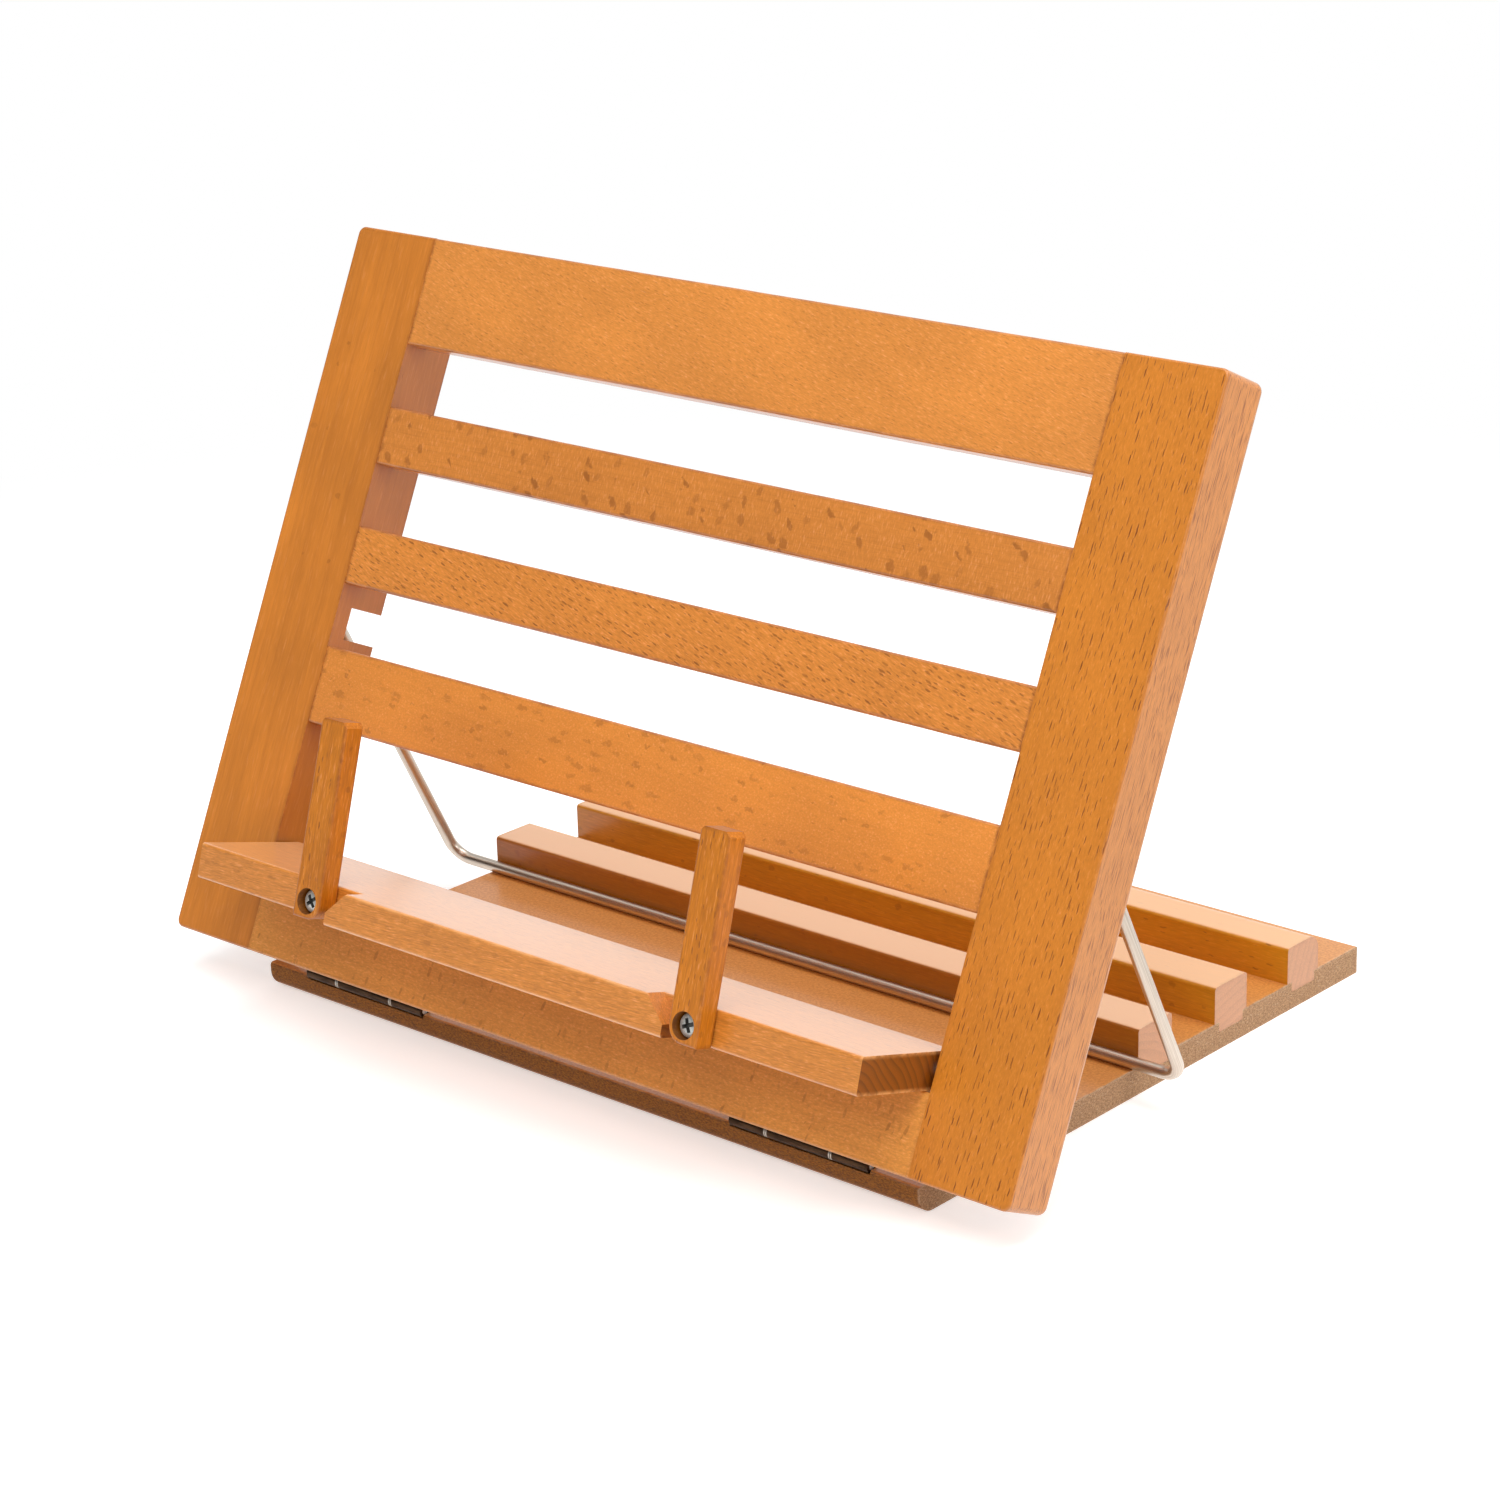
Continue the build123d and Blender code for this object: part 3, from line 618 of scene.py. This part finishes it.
def fibreboardMaterial():
    material, tree, surface = newMaterial("fibreboard")
    centre, half = turnedBox("base_board", (0, 0, 0))
    place = turned(tree, (0, 0, 0), centre)
    fibre = useGroup(tree, fibreGroup, Vector=place, Lump=fibreboard["lump"], Strand=fibreboard["strand"])
    facing = separate(tree, turnedNormal(tree, (0, 0, 0)))
    face = ramp(tree, calc(tree, "ABSOLUTE", facing[2]), *fibreboard["faceRange"])
    bare = ramp(tree, calc(tree, "ABSOLUTE", facing[0]), *fibreboard["sawnRange"])
    patches = ramp(tree, fibre["Lumps"], *fibreboard["stainRange"], 0.0, fibreboard["stainPatches"])
    stain = blendColour(tree, patches, fibreboard["stain"], fibreboard["stainDark"])
    lumps = ramp(tree, fibre["Lumps"], *fibreboard["lumpRange"])
    sawn = blendColour(tree, lumps, fibreboard["sawn"], fibreboard["sawnDark"])
    sawn = blendColour(tree, times(tree, fibre["Specks"], fibreboard["specks"]), sawn, fibreboard["speck"])
    front = blendColour(tree, lumps, fibreboard["front"], fibreboard["frontDark"])
    colour = blendColour(tree, face, blendColour(tree, bare, front, sawn), stain)
    edgeMark = useGroup(tree, edgeGroup, Vector=place, Half_Size=half, Reach=fibreboard["edgeReach"],
                    Break_Up=fibreboard["edgeBreaks"])
    colour = blendColour(tree, times(tree, edgeMark["Edge"], fibreboard["edgeMark"]), colour, fibreboard["speck"])
    height = calc(tree, "ADD", fibre["Lumps"], times(tree, fibre["Strands"], 0.5))
    deep = calc(tree, "MULTIPLY_ADD", face, fibreboard["faceRelief"] - 1, 1.0)
    relief = bump(tree, times(tree, height, deep), fibreboard["reliefHeight"])
    smoother = fibreboard["faceRoughness"] - fibreboard["sideRoughness"]
    rough = calc(tree, "MULTIPLY_ADD", face, smoother, fibreboard["sideRoughness"])
    fill(tree, surface, Base_Color=colour, Roughness=rough, Normal=relief,
         Coat_Weight=times(tree, face, fibreboard["coat"]), Coat_Roughness=fibreboard["coatRoughness"])
    return material


dress(["base_board"], fibreboardMaterial())
print("the base board is stained")


# Metals

metalFinish = {"dullRoughness": 0.16, "scuffHeight": 0.000003, "lineRange": (0.35, 0.7)}
metals = {
    "wire_steel": {"nodes": ["wire_prop"], "colour": paint(226, 214, 200), "dull": paint(150, 132, 114),
                   "stretch": (9, 9, 9), "patches": 0.2, "roughness": 0.3,
                   "drawn": {"size": (34, 0.3, 0.3), "depth": 0.45}},
    # the hinges' dark brown is partly painted shade, so that their slots under the frame read dark
    "hinge_steel": {"nodes": ["left_base_leaf", "right_base_leaf", "left_frame_leaf", "right_frame_leaf"],
                    "colour": paint(84, 62, 44), "dull": paint(48, 34, 24),
                    "stretch": (6, 1.2, 1.2), "patches": 0.8, "roughness": 0.38,
                    # painted glints at the ends of the knuckles
                    "paintedHighlight": {"middle": 90.0, "reach": 12.15, "width": (0.8, 0.32), "colour": paint(206, 200, 190)}},
    "screw_steel": {"nodes": ["base_leaf_screws", "frame_leaf_screws", "holder_screws", "left_ledge_pin",
                              "right_ledge_pin", "left_hinge_pin", "right_hinge_pin"],
                    "colour": paint(236, 240, 236), "dull": paint(158, 160, 156),
                    "stretch": (1.2, 1.2, 1.2), "patches": 0.35, "roughness": 0.33, "metallic": 0.6,
                    "recess": {"share": 0.85, "colour": paint(52, 48, 42)}},
}


def metalMaterial(name, metal):
    material, tree, surface = newMaterial(name)
    handled = useGroup(tree, handledGroup, Vector=turned(tree, (0, 0, 0)), Patch_Size=metal["stretch"])
    dullness = times(tree, handled["Patches"], metal["patches"])
    if "drawn" in metal:
        # fine lines along the wire, from the path that it was bent along
        drawn = metal["drawn"]
        length = add(tree, "ShaderNodeAttribute", attribute_name="along").outputs["Fac"]
        around = add(tree, "ShaderNodeAttribute", attribute_name="around").outputs["Vector"]
        aside, across = separate(tree, around)[:2]
        place = vectorCalc(tree, "SCALE", combine(tree, length, aside, across), perMetre)
        lines = ramp(tree, cloud(tree, place, drawn["size"]), *metalFinish["lineRange"], 0.0, drawn["depth"])
        dullness = calc(tree, "MAXIMUM", dullness, lines)
    colour = blendColour(tree, dullness, metal["colour"], metal["dull"])
    if "paintedHighlight" in metal:
        # painted glints: bright bands at the ends of the hinge's knuckles, where they catch the light
        paintedHighlight = metal["paintedHighlight"]
        fromEnds = times(tree, separate(tree, turned(tree, (0, 0, 0)))[0], perMetre)
        for distance in (0.0, paintedHighlight["middle"], paintedHighlight["reach"]):
            fromEnds = calc(tree, "ABSOLUTE", minus(tree, fromEnds, distance))
        bright = ramp(tree, fromEnds, *paintedHighlight["width"])
        colour = blendColour(tree, bright, colour, paintedHighlight["colour"])
    if "recess" in metal:
        # dirt and painted shade in the screws' crosses, marked where they were cut
        cutFaces = add(tree, "ShaderNodeAttribute", attribute_name="recess").outputs["Fac"]
        dirtAndShade = times(tree, cutFaces, metal["recess"]["share"])
        colour = blendColour(tree, dirtAndShade, colour, metal["recess"]["colour"])
    rough = calc(tree, "MULTIPLY_ADD", dullness, metalFinish["dullRoughness"], metal["roughness"])
    relief = bump(tree, handled["Scuffs"], metalFinish["scuffHeight"])
    fill(tree, surface, Base_Color=colour, Roughness=rough, Normal=relief, Metallic=metal.get("metallic", 1.0))
    return material


for name, metal in metals.items():
    finishes[name] = metalMaterial(name, metal)
    dress(metal["nodes"], finishes[name])
print("metals are on")


# Geometry Nodes: the slats and rails, the bent wire and the screws

def grow(name, tree, replaced, body, slot, source=None, **values):
    # runs a tree on a stand-in object and keeps the result as a plain mesh
    standIn = newObject("growing", source or bpy.data.meshes.new("growing"))
    modifier = standIn.modifiers.new("shape", "NODES")
    modifier.node_group = tree
    for item in tree.interface.items_tree:
        key = item.name.replace(" ", "_")
        if item.in_out == "INPUT" and key in values:
            modifier[item.identifier] = values[key]
    graph = bpy.context.evaluated_depsgraph_get()
    mesh = bpy.data.meshes.new_from_object(standIn.evaluated_get(graph), depsgraph=graph)
    standIn.modifiers.remove(modifier)
    bpy.data.objects.remove(standIn)
    mesh.name = name
    piece = newObject(name, mesh)
    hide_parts(replaced)
    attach(piece, body)
    return piece


def shape(tree, kind, **values):
    return fill(tree, add(tree, "GeometryNode" + kind), **values).outputs[0]


def mark(tree, geometry, word, value, **settings):
    # keeps a value on the mesh under a name that its material reads
    node = add(tree, "GeometryNodeStoreNamedAttribute", **settings)
    return fill(tree, node, Geometry=geometry, Name=word, Value=value).outputs[0]


def roundCorners(tree, curve, count, radius):
    node = add(tree, "GeometryNodeFilletCurve", mode="POLY")
    return fill(tree, node, Curve=curve, Count=count, Radius=radius).outputs[0]


def finishTree(tree, out, geometry, material):
    whole = shape(tree, "RealizeInstances", Geometry=geometry)
    feed(tree, out["Geometry"], shape(tree, "SetMaterial", Geometry=whole, Material=material))


def smooth(piece, degrees):
    piece.data.shade_smooth()
    piece.data.set_sharp_from_angle(angle=math.radians(degrees))


rail = {
    "nodes": ["lower_rail", "lower_slat", "upper_slat", "top_rail"],
    "ease": 0.0009,
    "wander": 0.00022,
    "steps": 110,
    "corner": 5,           # points round each eased edge
    "waves": 40.0,         # per metre along an edge
    "waveDetail": 3.0,
    "edgeApart": 7.0,      # keeps the four edges and the pieces from wandering alike
    "seedApart": 31.0,
}


def makeRailTree():
    # a bar along X with its long edges eased by hand, so that the rounding wanders a little
    tree, given, out = newGroup("eased rail", {
        "Length": 0.27, "Depth": 0.0095, "Height": 0.019, "Ease": 0.0008, "Wander": 0.0002, "Steps": 90, "Seed": 1.0,
        "Turn": (0, 0, 0), "Place": (0, 0, 0), "Finish": "Material",
    }, ["Geometry"], "GeometryNodeTree")
    half = times(tree, given["Length"], 0.5)
    line = shape(tree, "CurvePrimitiveLine", Start=combine(tree, times(tree, half, -1), 0.0, 0.0),
                 End=combine(tree, half, 0.0, 0.0))
    path = shape(tree, "ResampleCurve", Curve=line, Count=given["Steps"])
    section = shape(tree, "CurvePrimitiveQuadrilateral", Width=given["Depth"], Height=given["Height"])
    eased = roundCorners(tree, section, rail["corner"], given["Ease"])
    bar = shape(tree, "CurveToMesh", Curve=path, Profile_Curve=eased, Fill_Caps=True)
    x, y, z = separate(tree, shape(tree, "InputPosition"))
    sideY, sideZ = calc(tree, "SIGN", y), calc(tree, "SIGN", z)
    apart = calc(tree, "MULTIPLY_ADD", sideZ, rail["edgeApart"], times(tree, given["Seed"], rail["seedApart"]))
    edge = combine(tree, times(tree, x, rail["waves"]), times(tree, sideY, rail["edgeApart"]), apart)
    amount = times(tree, cloud(tree, edge, (1, 1, 1), rail["waveDetail"]), times(tree, given["Wander"], -1))
    offset = vectorCalc(tree, "SCALE", combine(tree, 0.0, sideY, sideZ), amount)
    worn = shape(tree, "SetPosition", Geometry=bar, Offset=offset)
    placed = shape(tree, "Transform", Geometry=worn, Rotation=given["Turn"], Translation=given["Place"])
    finishTree(tree, out, placed, given["Finish"])
    return tree


railTree = makeRailTree()
for node in rail["nodes"]:
    centre, half = turnedBox(node, (lean, 0, 0))
    untilt = Euler((math.radians(-lean), 0, 0))
    grow("eased_" + node, railTree, node, "book_frame", "varnished_beech", Length=2 * half[0], Depth=2 * half[1],
         Height=2 * half[2], Ease=rail["ease"], Wander=rail["wander"], Steps=rail["steps"],
         Seed=float(boards[node]["seed"]), Turn=tuple(untilt), Place=tuple(untilt.to_matrix() @ centre),
         Finish=finishes[node])
print("rails and slats are grown:", len(rail["nodes"]))


wire = {
    "halfWidth": 0.1515,      # from the middle to each leg
    "end": 0.0115,            # each turned-out end
    "pivot": (-0.060266, 0.111464),
    "foot": (-0.0098, 0.0111),
    "radius": 0.002,
    "elbow": 0.0035,
    "bend": 0.007,
    "bendSteps": 12,
    "sides": 28,
    "sharpAngle": 40,         # degrees, flatter edges are shaded smooth
}


def makeWireTree():
    # a round wire along a line of corners, a small bend at each end's elbow and a wide one at the foot
    tree, given, out = newGroup("bent wire", {
        "Geometry": "Geometry", "Wire Radius": 0.002, "Elbow Bend": 0.0035, "Foot Bend": 0.007, "Sides": 28,
        "Finish": "Material",
    }, ["Geometry"], "GeometryNodeTree")
    fromMiddle = calc(tree, "ABSOLUTE", minus(tree, shape(tree, "InputIndex"), 2.5))
    change = minus(tree, given["Elbow Bend"], given["Foot Bend"])
    bend = calc(tree, "MULTIPLY_ADD", calc(tree, "GREATER_THAN", fromMiddle, 1.0), change, given["Foot Bend"])
    path = roundCorners(tree, given["Geometry"], wire["bendSteps"], bend)
    ring = shape(tree, "CurvePrimitiveCircle", Resolution=given["Sides"], Radius=given["Wire Radius"])
    length = add(tree, "GeometryNodeSplineParameter").outputs["Length"]
    path = mark(tree, path, "along", length, data_type="FLOAT", domain="POINT")
    ring = mark(tree, ring, "around", shape(tree, "InputPosition"), data_type="FLOAT_VECTOR", domain="POINT")
    bar = shape(tree, "CurveToMesh", Curve=path, Profile_Curve=ring, Fill_Caps=True)
    finishTree(tree, out, bar, given["Finish"])
    return tree


def wirePath():
    spline = bpy.data.curves.new("wire_path", "CURVE")
    spline.dimensions = "3D"
    out, leg = wire["halfWidth"] + wire["end"], wire["halfWidth"]
    top, low = wire["pivot"], wire["foot"]
    corners = [(out, *top), (leg, *top), (leg, *low), (-leg, *low), (-leg, *top), (-out, *top)]
    line = spline.splines.new("POLY")
    line.points.add(len(corners) - 1)
    for point, corner in zip(line.points, corners):
        point.co = (*corner, 1)
    return spline


wirePiece = grow("bent_wire", makeWireTree(), "wire_prop", "prop", "wire_steel", wirePath(), Wire_Radius=wire["radius"],
                 Elbow_Bend=wire["elbow"], Foot_Bend=wire["bend"], Sides=wire["sides"], Finish=finishes["wire_steel"])
smooth(wirePiece, wire["sharpAngle"])
print("the wire is bent")


screwShape = {
    "segments": 36,
    "rings": 20,
    "shankSides": 24,
    "bulge": 0.7,         # under 1, the dome is fuller than a ball
    "bladeTaper": 0.3,    # how much wider the cross is above than below
    "sharpAngle": 25,     # degrees, flatter edges are shaded smooth
}


def makeScrewTree():
    # a cross-headed screw on each given point, head upwards along Z, then all of them turned together
    tree, given, out = newGroup("cross screws", {
        "Geometry": "Geometry", "Head Radius": 0.0036, "Heel Radius": 0.0034, "Head Height": 0.0024, "Dome": 0.0012,
        "Shank Radius": 0.0017, "Shank Length": 0.016, "Recess Reach": 0.0017, "Recess Width": 0.0008,
        "Recess Depth": 0.0013, "Seed": 4, "Turn": (0, 0, 0), "Finish": "Material",
    }, ["Geometry"], "GeometryNodeTree")
    ball = shape(tree, "MeshUVSphere", Segments=screwShape["segments"], Rings=screwShape["rings"], Radius=1.0)
    x, y, z = separate(tree, shape(tree, "InputPosition"))
    fromAxis = vectorCalc(tree, "LENGTH", combine(tree, x, y, 0.0))
    upper = times(tree, given["Head Radius"], calc(tree, "POWER", fromAxis, screwShape["bulge"]))
    below = calc(tree, "MAXIMUM", times(tree, z, -1), 0.0)
    taper = minus(tree, given["Heel Radius"], given["Head Radius"])
    lower = calc(tree, "MULTIPLY_ADD", below, taper, given["Head Radius"])
    isLow = calc(tree, "LESS_THAN", z, -0.001)
    wide = calc(tree, "ADD", upper, times(tree, isLow, minus(tree, lower, upper)))
    factor = calc(tree, "DIVIDE", wide, calc(tree, "MAXIMUM", fromAxis, 0.001))
    domed = times(tree, calc(tree, "MAXIMUM", z, 0.0), given["Dome"])
    sunk = times(tree, below, minus(tree, given["Head Height"], given["Dome"]))
    level = minus(tree, minus(tree, domed, sunk), given["Dome"])
    head = shape(tree, "SetPosition", Geometry=ball,
                 Position=combine(tree, times(tree, x, factor), times(tree, y, factor), level))
    cut = add(tree, "GeometryNodeMeshBoolean", operation="DIFFERENCE", solver="EXACT")
    tree.links.new(head, cut.inputs["Mesh 1"])
    reach, width = times(tree, given["Recess Reach"], 2), given["Recess Width"]
    deep = times(tree, given["Recess Depth"], 2)
    for size in ((reach, width), (width, reach)):
        blade = shape(tree, "MeshCube", Size=combine(tree, *size, deep))
        px, py, pz = separate(tree, shape(tree, "InputPosition"))
        down = calc(tree, "DIVIDE", pz, given["Recess Depth"])
        narrow = calc(tree, "MULTIPLY_ADD", down, screwShape["bladeTaper"], 1.0)
        blade = shape(tree, "SetPosition", Geometry=blade,
                      Position=combine(tree, times(tree, px, narrow), times(tree, py, narrow), pz))
        tree.links.new(mark(tree, blade, "recess", 1.0, data_type="FLOAT", domain="FACE"), cut.inputs["Mesh 2"])
    shank = shape(tree, "MeshCylinder", Vertices=screwShape["shankSides"], Radius=given["Shank Radius"],
                  Depth=given["Shank Length"])
    middle = calc(tree, "MULTIPLY_ADD", given["Shank Length"], -0.5, times(tree, given["Head Height"], -1.0))
    hung = shape(tree, "Transform", Geometry=shank, Translation=combine(tree, 0.0, 0.0, middle))
    whole = add(tree, "GeometryNodeJoinGeometry")
    tree.links.new(cut.outputs["Mesh"], whole.inputs[0])
    tree.links.new(hung, whole.inputs[0])
    spin = add(tree, "FunctionNodeRandomValue", data_type="FLOAT")
    feed(tree, [s for s in spin.inputs if s.name == "Max" and s.type == "VALUE"][0], math.pi)
    feed(tree, spin.inputs["Seed"], given["Seed"])
    spun = [s for s in spin.outputs if s.type == "VALUE"][0]
    driven = shape(tree, "InstanceOnPoints", Points=given["Geometry"], Instance=whole.outputs[0],
                   Rotation=combine(tree, 0.0, 0.0, spun))
    finishTree(tree, out, shape(tree, "Transform", Geometry=driven, Rotation=given["Turn"]), given["Finish"])
    return tree


# places are in a frame whose Z is the screws' own direction, tilt turns that frame onto the part. head is a screw's
# radius, its heel's radius, its height and its dome, shank a radius and a length, recess a reach, a width and a depth.
hingeRow = ((0.071, 0.0), (0.09, 0.003), (0.109, 0.0))  # from the middle, and how far the screw stands out of the row
hingeScrew = {"head": (0.0024, 0.0014, 0.001, 0.00015), "shank": (0.0014, 0.0055), "recess": (0.0014, 0.0006, 0.0006)}
screws = {
    "holder_screws": {"name": "holder_cross_screws", "body": "ledge", "tilt": 90 - ledgeLean, "seed": 4,
                      "places": [(-0.077, 0.010616, 0.151649), (0.077, 0.010616, 0.151649)],
                      "head": (0.0036, 0.0035, 0.0024, 0.0012), "shank": (0.002, 0.0184),
                      "recess": (0.0022, 0.0012, 0.0014)},
    "base_leaf_screws": {**hingeScrew, "name": "base_cross_screws", "body": "base", "tilt": 0, "seed": 9,
                         "places": [(side * x, -0.101093 + out, 0.0093) for side in (-1, 1) for x, out in hingeRow]},
    "frame_leaf_screws": {**hingeScrew, "name": "frame_cross_screws", "body": "book_frame", "tilt": -90 - lean,
                          "seed": 15,
                          "places": [(side * x, 0.028649 - out, -0.104426) for side in (-1, 1) for x, out in hingeRow]},
}

screwTree = makeScrewTree()
for node, screw in screws.items():
    points = bpy.data.meshes.new("screw_places")
    points.from_pydata(screw["places"], [], [])
    headRadius, heelRadius, headHeight, dome = screw["head"]
    reach, width, deep = screw["recess"]
    piece = grow(screw["name"], screwTree, node, screw["body"], "screw_steel", points, Head_Radius=headRadius,
                 Heel_Radius=heelRadius, Head_Height=headHeight, Dome=dome, Shank_Radius=screw["shank"][0],
                 Shank_Length=screw["shank"][1], Recess_Reach=reach, Recess_Width=width, Recess_Depth=deep,
                 Seed=screw["seed"], Turn=(math.radians(screw["tilt"]), 0, 0), Finish=finishes["screw_steel"])
    smooth(piece, screwShape["sharpAngle"])
print("screws are driven")


# Floor, lamps and camera

studio = {
    "floorSize": 12.0,
    "floorColour": (0.86, 0.86, 0.86, 1),
    "floorGlow": 0.45,        # added near the stand, for the camera and in reflections only
    "glowFrom": 0.3,          # metres from the stand where the floor starts to go plain white
    "glowTo": 0.75,
    "mirrorFrom": 0.12,       # the same for what shiny surfaces show
    "roomColour": (1.0, 1.0, 1.0, 1),
    "roomOnObject": 0.5,      # what the room adds to the object
    "roomFront": 0.08,        # how bright the room in front of the stand is in reflections
    "roomHigh": 0.1,          # and high up behind it
    "roomAbove": 1.0,
    "frontToBack": (-0.3, 0.15),  # where reflections pass from one to the next, as parts of a direction
    "lowToHigh": (0.42, 0.62),
    "highToAbove": (0.66, 0.76),
}
lamps = {
    "overhead": {"at": (0.3, 0.0, 1.5), "aim": (0, 0, 0.05), "size": 1.4, "watts": 16.5},
    "frontHigh": {"at": (0.45, -1.3, 1.5), "aim": (0, 0, 0.1), "size": 1.1, "watts": 11},
    "right": {"at": (1.9, 0.2, 0.8), "aim": (0, 0, 0.1), "size": 1.0, "watts": 8},
}
view = {"at": (0.74223, -0.8581, 0.47657), "turn": (70.775, 1.493, 41.236), "lens": 91.67, "sensor": 36.0,
        "clip": (0.05, 30.0)}


def makeFloor():
    mesh = bpy.data.meshes.new("floor")
    half = studio["floorSize"] / 2
    mesh.from_pydata([(-half, -half, 0), (half, -half, 0), (half, half, 0), (-half, half, 0)], [], [(0, 1, 2, 3)])
    floor = newObject("floor", mesh)
    material = bpy.data.materials.new("pale_floor")
    tree = emptyTree(material)
    paths = add(tree, "ShaderNodeLightPath").outputs
    seen = calc(tree, "MAXIMUM", paths["Is Camera Ray"], paths["Is Transmission Ray"])
    seen = calc(tree, "MAXIMUM", seen, paths["Is Glossy Ray"])
    away = vectorCalc(tree, "LENGTH", add(tree, "ShaderNodeTexCoord").outputs["Object"])
    mirrored = times(tree, ramp(tree, away, studio["mirrorFrom"], studio["glowFrom"]), paths["Is Glossy Ray"])
    far = times(tree, ramp(tree, away, studio["glowFrom"], studio["glowTo"]), seen)
    far = calc(tree, "MAXIMUM", far, mirrored)
    matt = fill(tree, add(tree, "ShaderNodeBsdfDiffuse"), Color=studio["floorColour"])
    glow = fill(tree, add(tree, "ShaderNodeEmission"), Strength=times(tree, seen, studio["floorGlow"]))
    near = add(tree, "ShaderNodeAddShader")
    feedAll(tree, near.inputs, (matt.outputs[0], glow.outputs[0]))
    white = fill(tree, add(tree, "ShaderNodeEmission"), Strength=1.0)
    both = add(tree, "ShaderNodeMixShader")
    feedAll(tree, both.inputs, (far, near.outputs[0], white.outputs[0]))
    fill(tree, add(tree, "ShaderNodeOutputMaterial"), Surface=both.outputs[0])
    mesh.materials.append(material)


def makeRoom():
    world = bpy.data.worlds.new("room")
    bpy.context.scene.world = world
    tree = emptyTree(world)
    paths = add(tree, "ShaderNodeLightPath").outputs
    seen = calc(tree, "MAXIMUM", paths["Is Camera Ray"], paths["Is Transmission Ray"])
    direction = separate(tree, add(tree, "ShaderNodeTexCoord").outputs["Generated"])
    behind = times(tree, ramp(tree, direction[1], *studio["frontToBack"], studio["roomFront"], 1.0),
                   ramp(tree, direction[2], *studio["lowToHigh"], 1.0, studio["roomHigh"]))
    above = ramp(tree, direction[2], *studio["highToAbove"], 0.0, studio["roomAbove"])
    bright = calc(tree, "MAXIMUM", behind, above)
    strength = calc(tree, "MULTIPLY_ADD", paths["Is Glossy Ray"], minus(tree, bright, studio["roomOnObject"]),
                    studio["roomOnObject"])
    strength = calc(tree, "MAXIMUM", strength, seen)
    room = fill(tree, add(tree, "ShaderNodeBackground"), Color=studio["roomColour"], Strength=strength)
    fill(tree, add(tree, "ShaderNodeOutputWorld"), Surface=room.outputs[0])


def makeLamps():
    for name, lamp in lamps.items():
        data = bpy.data.lights.new(name, "AREA")
        data.energy = lamp["watts"]
        data.size = lamp["size"]
        lampObject = newObject(name, data)
        lampObject.location = lamp["at"]
        toward = Vector(lamp["aim"]) - Vector(lamp["at"])
        lampObject.rotation_euler = toward.to_track_quat("-Z", "Y").to_euler()


def makeCamera():
    data = bpy.data.cameras.new("camera")
    data.lens = view["lens"]
    data.sensor_width = view["sensor"]
    data.clip_start, data.clip_end = view["clip"]
    camera = newObject("camera", data)
    camera.location = view["at"]
    camera.rotation_euler = [math.radians(a) for a in view["turn"]]
    bpy.context.scene.camera = camera


makeFloor()
makeRoom()
makeLamps()
makeCamera()
bpy.context.scene.view_settings.view_transform = "Standard"
print("floor, room, lamps and camera are set")
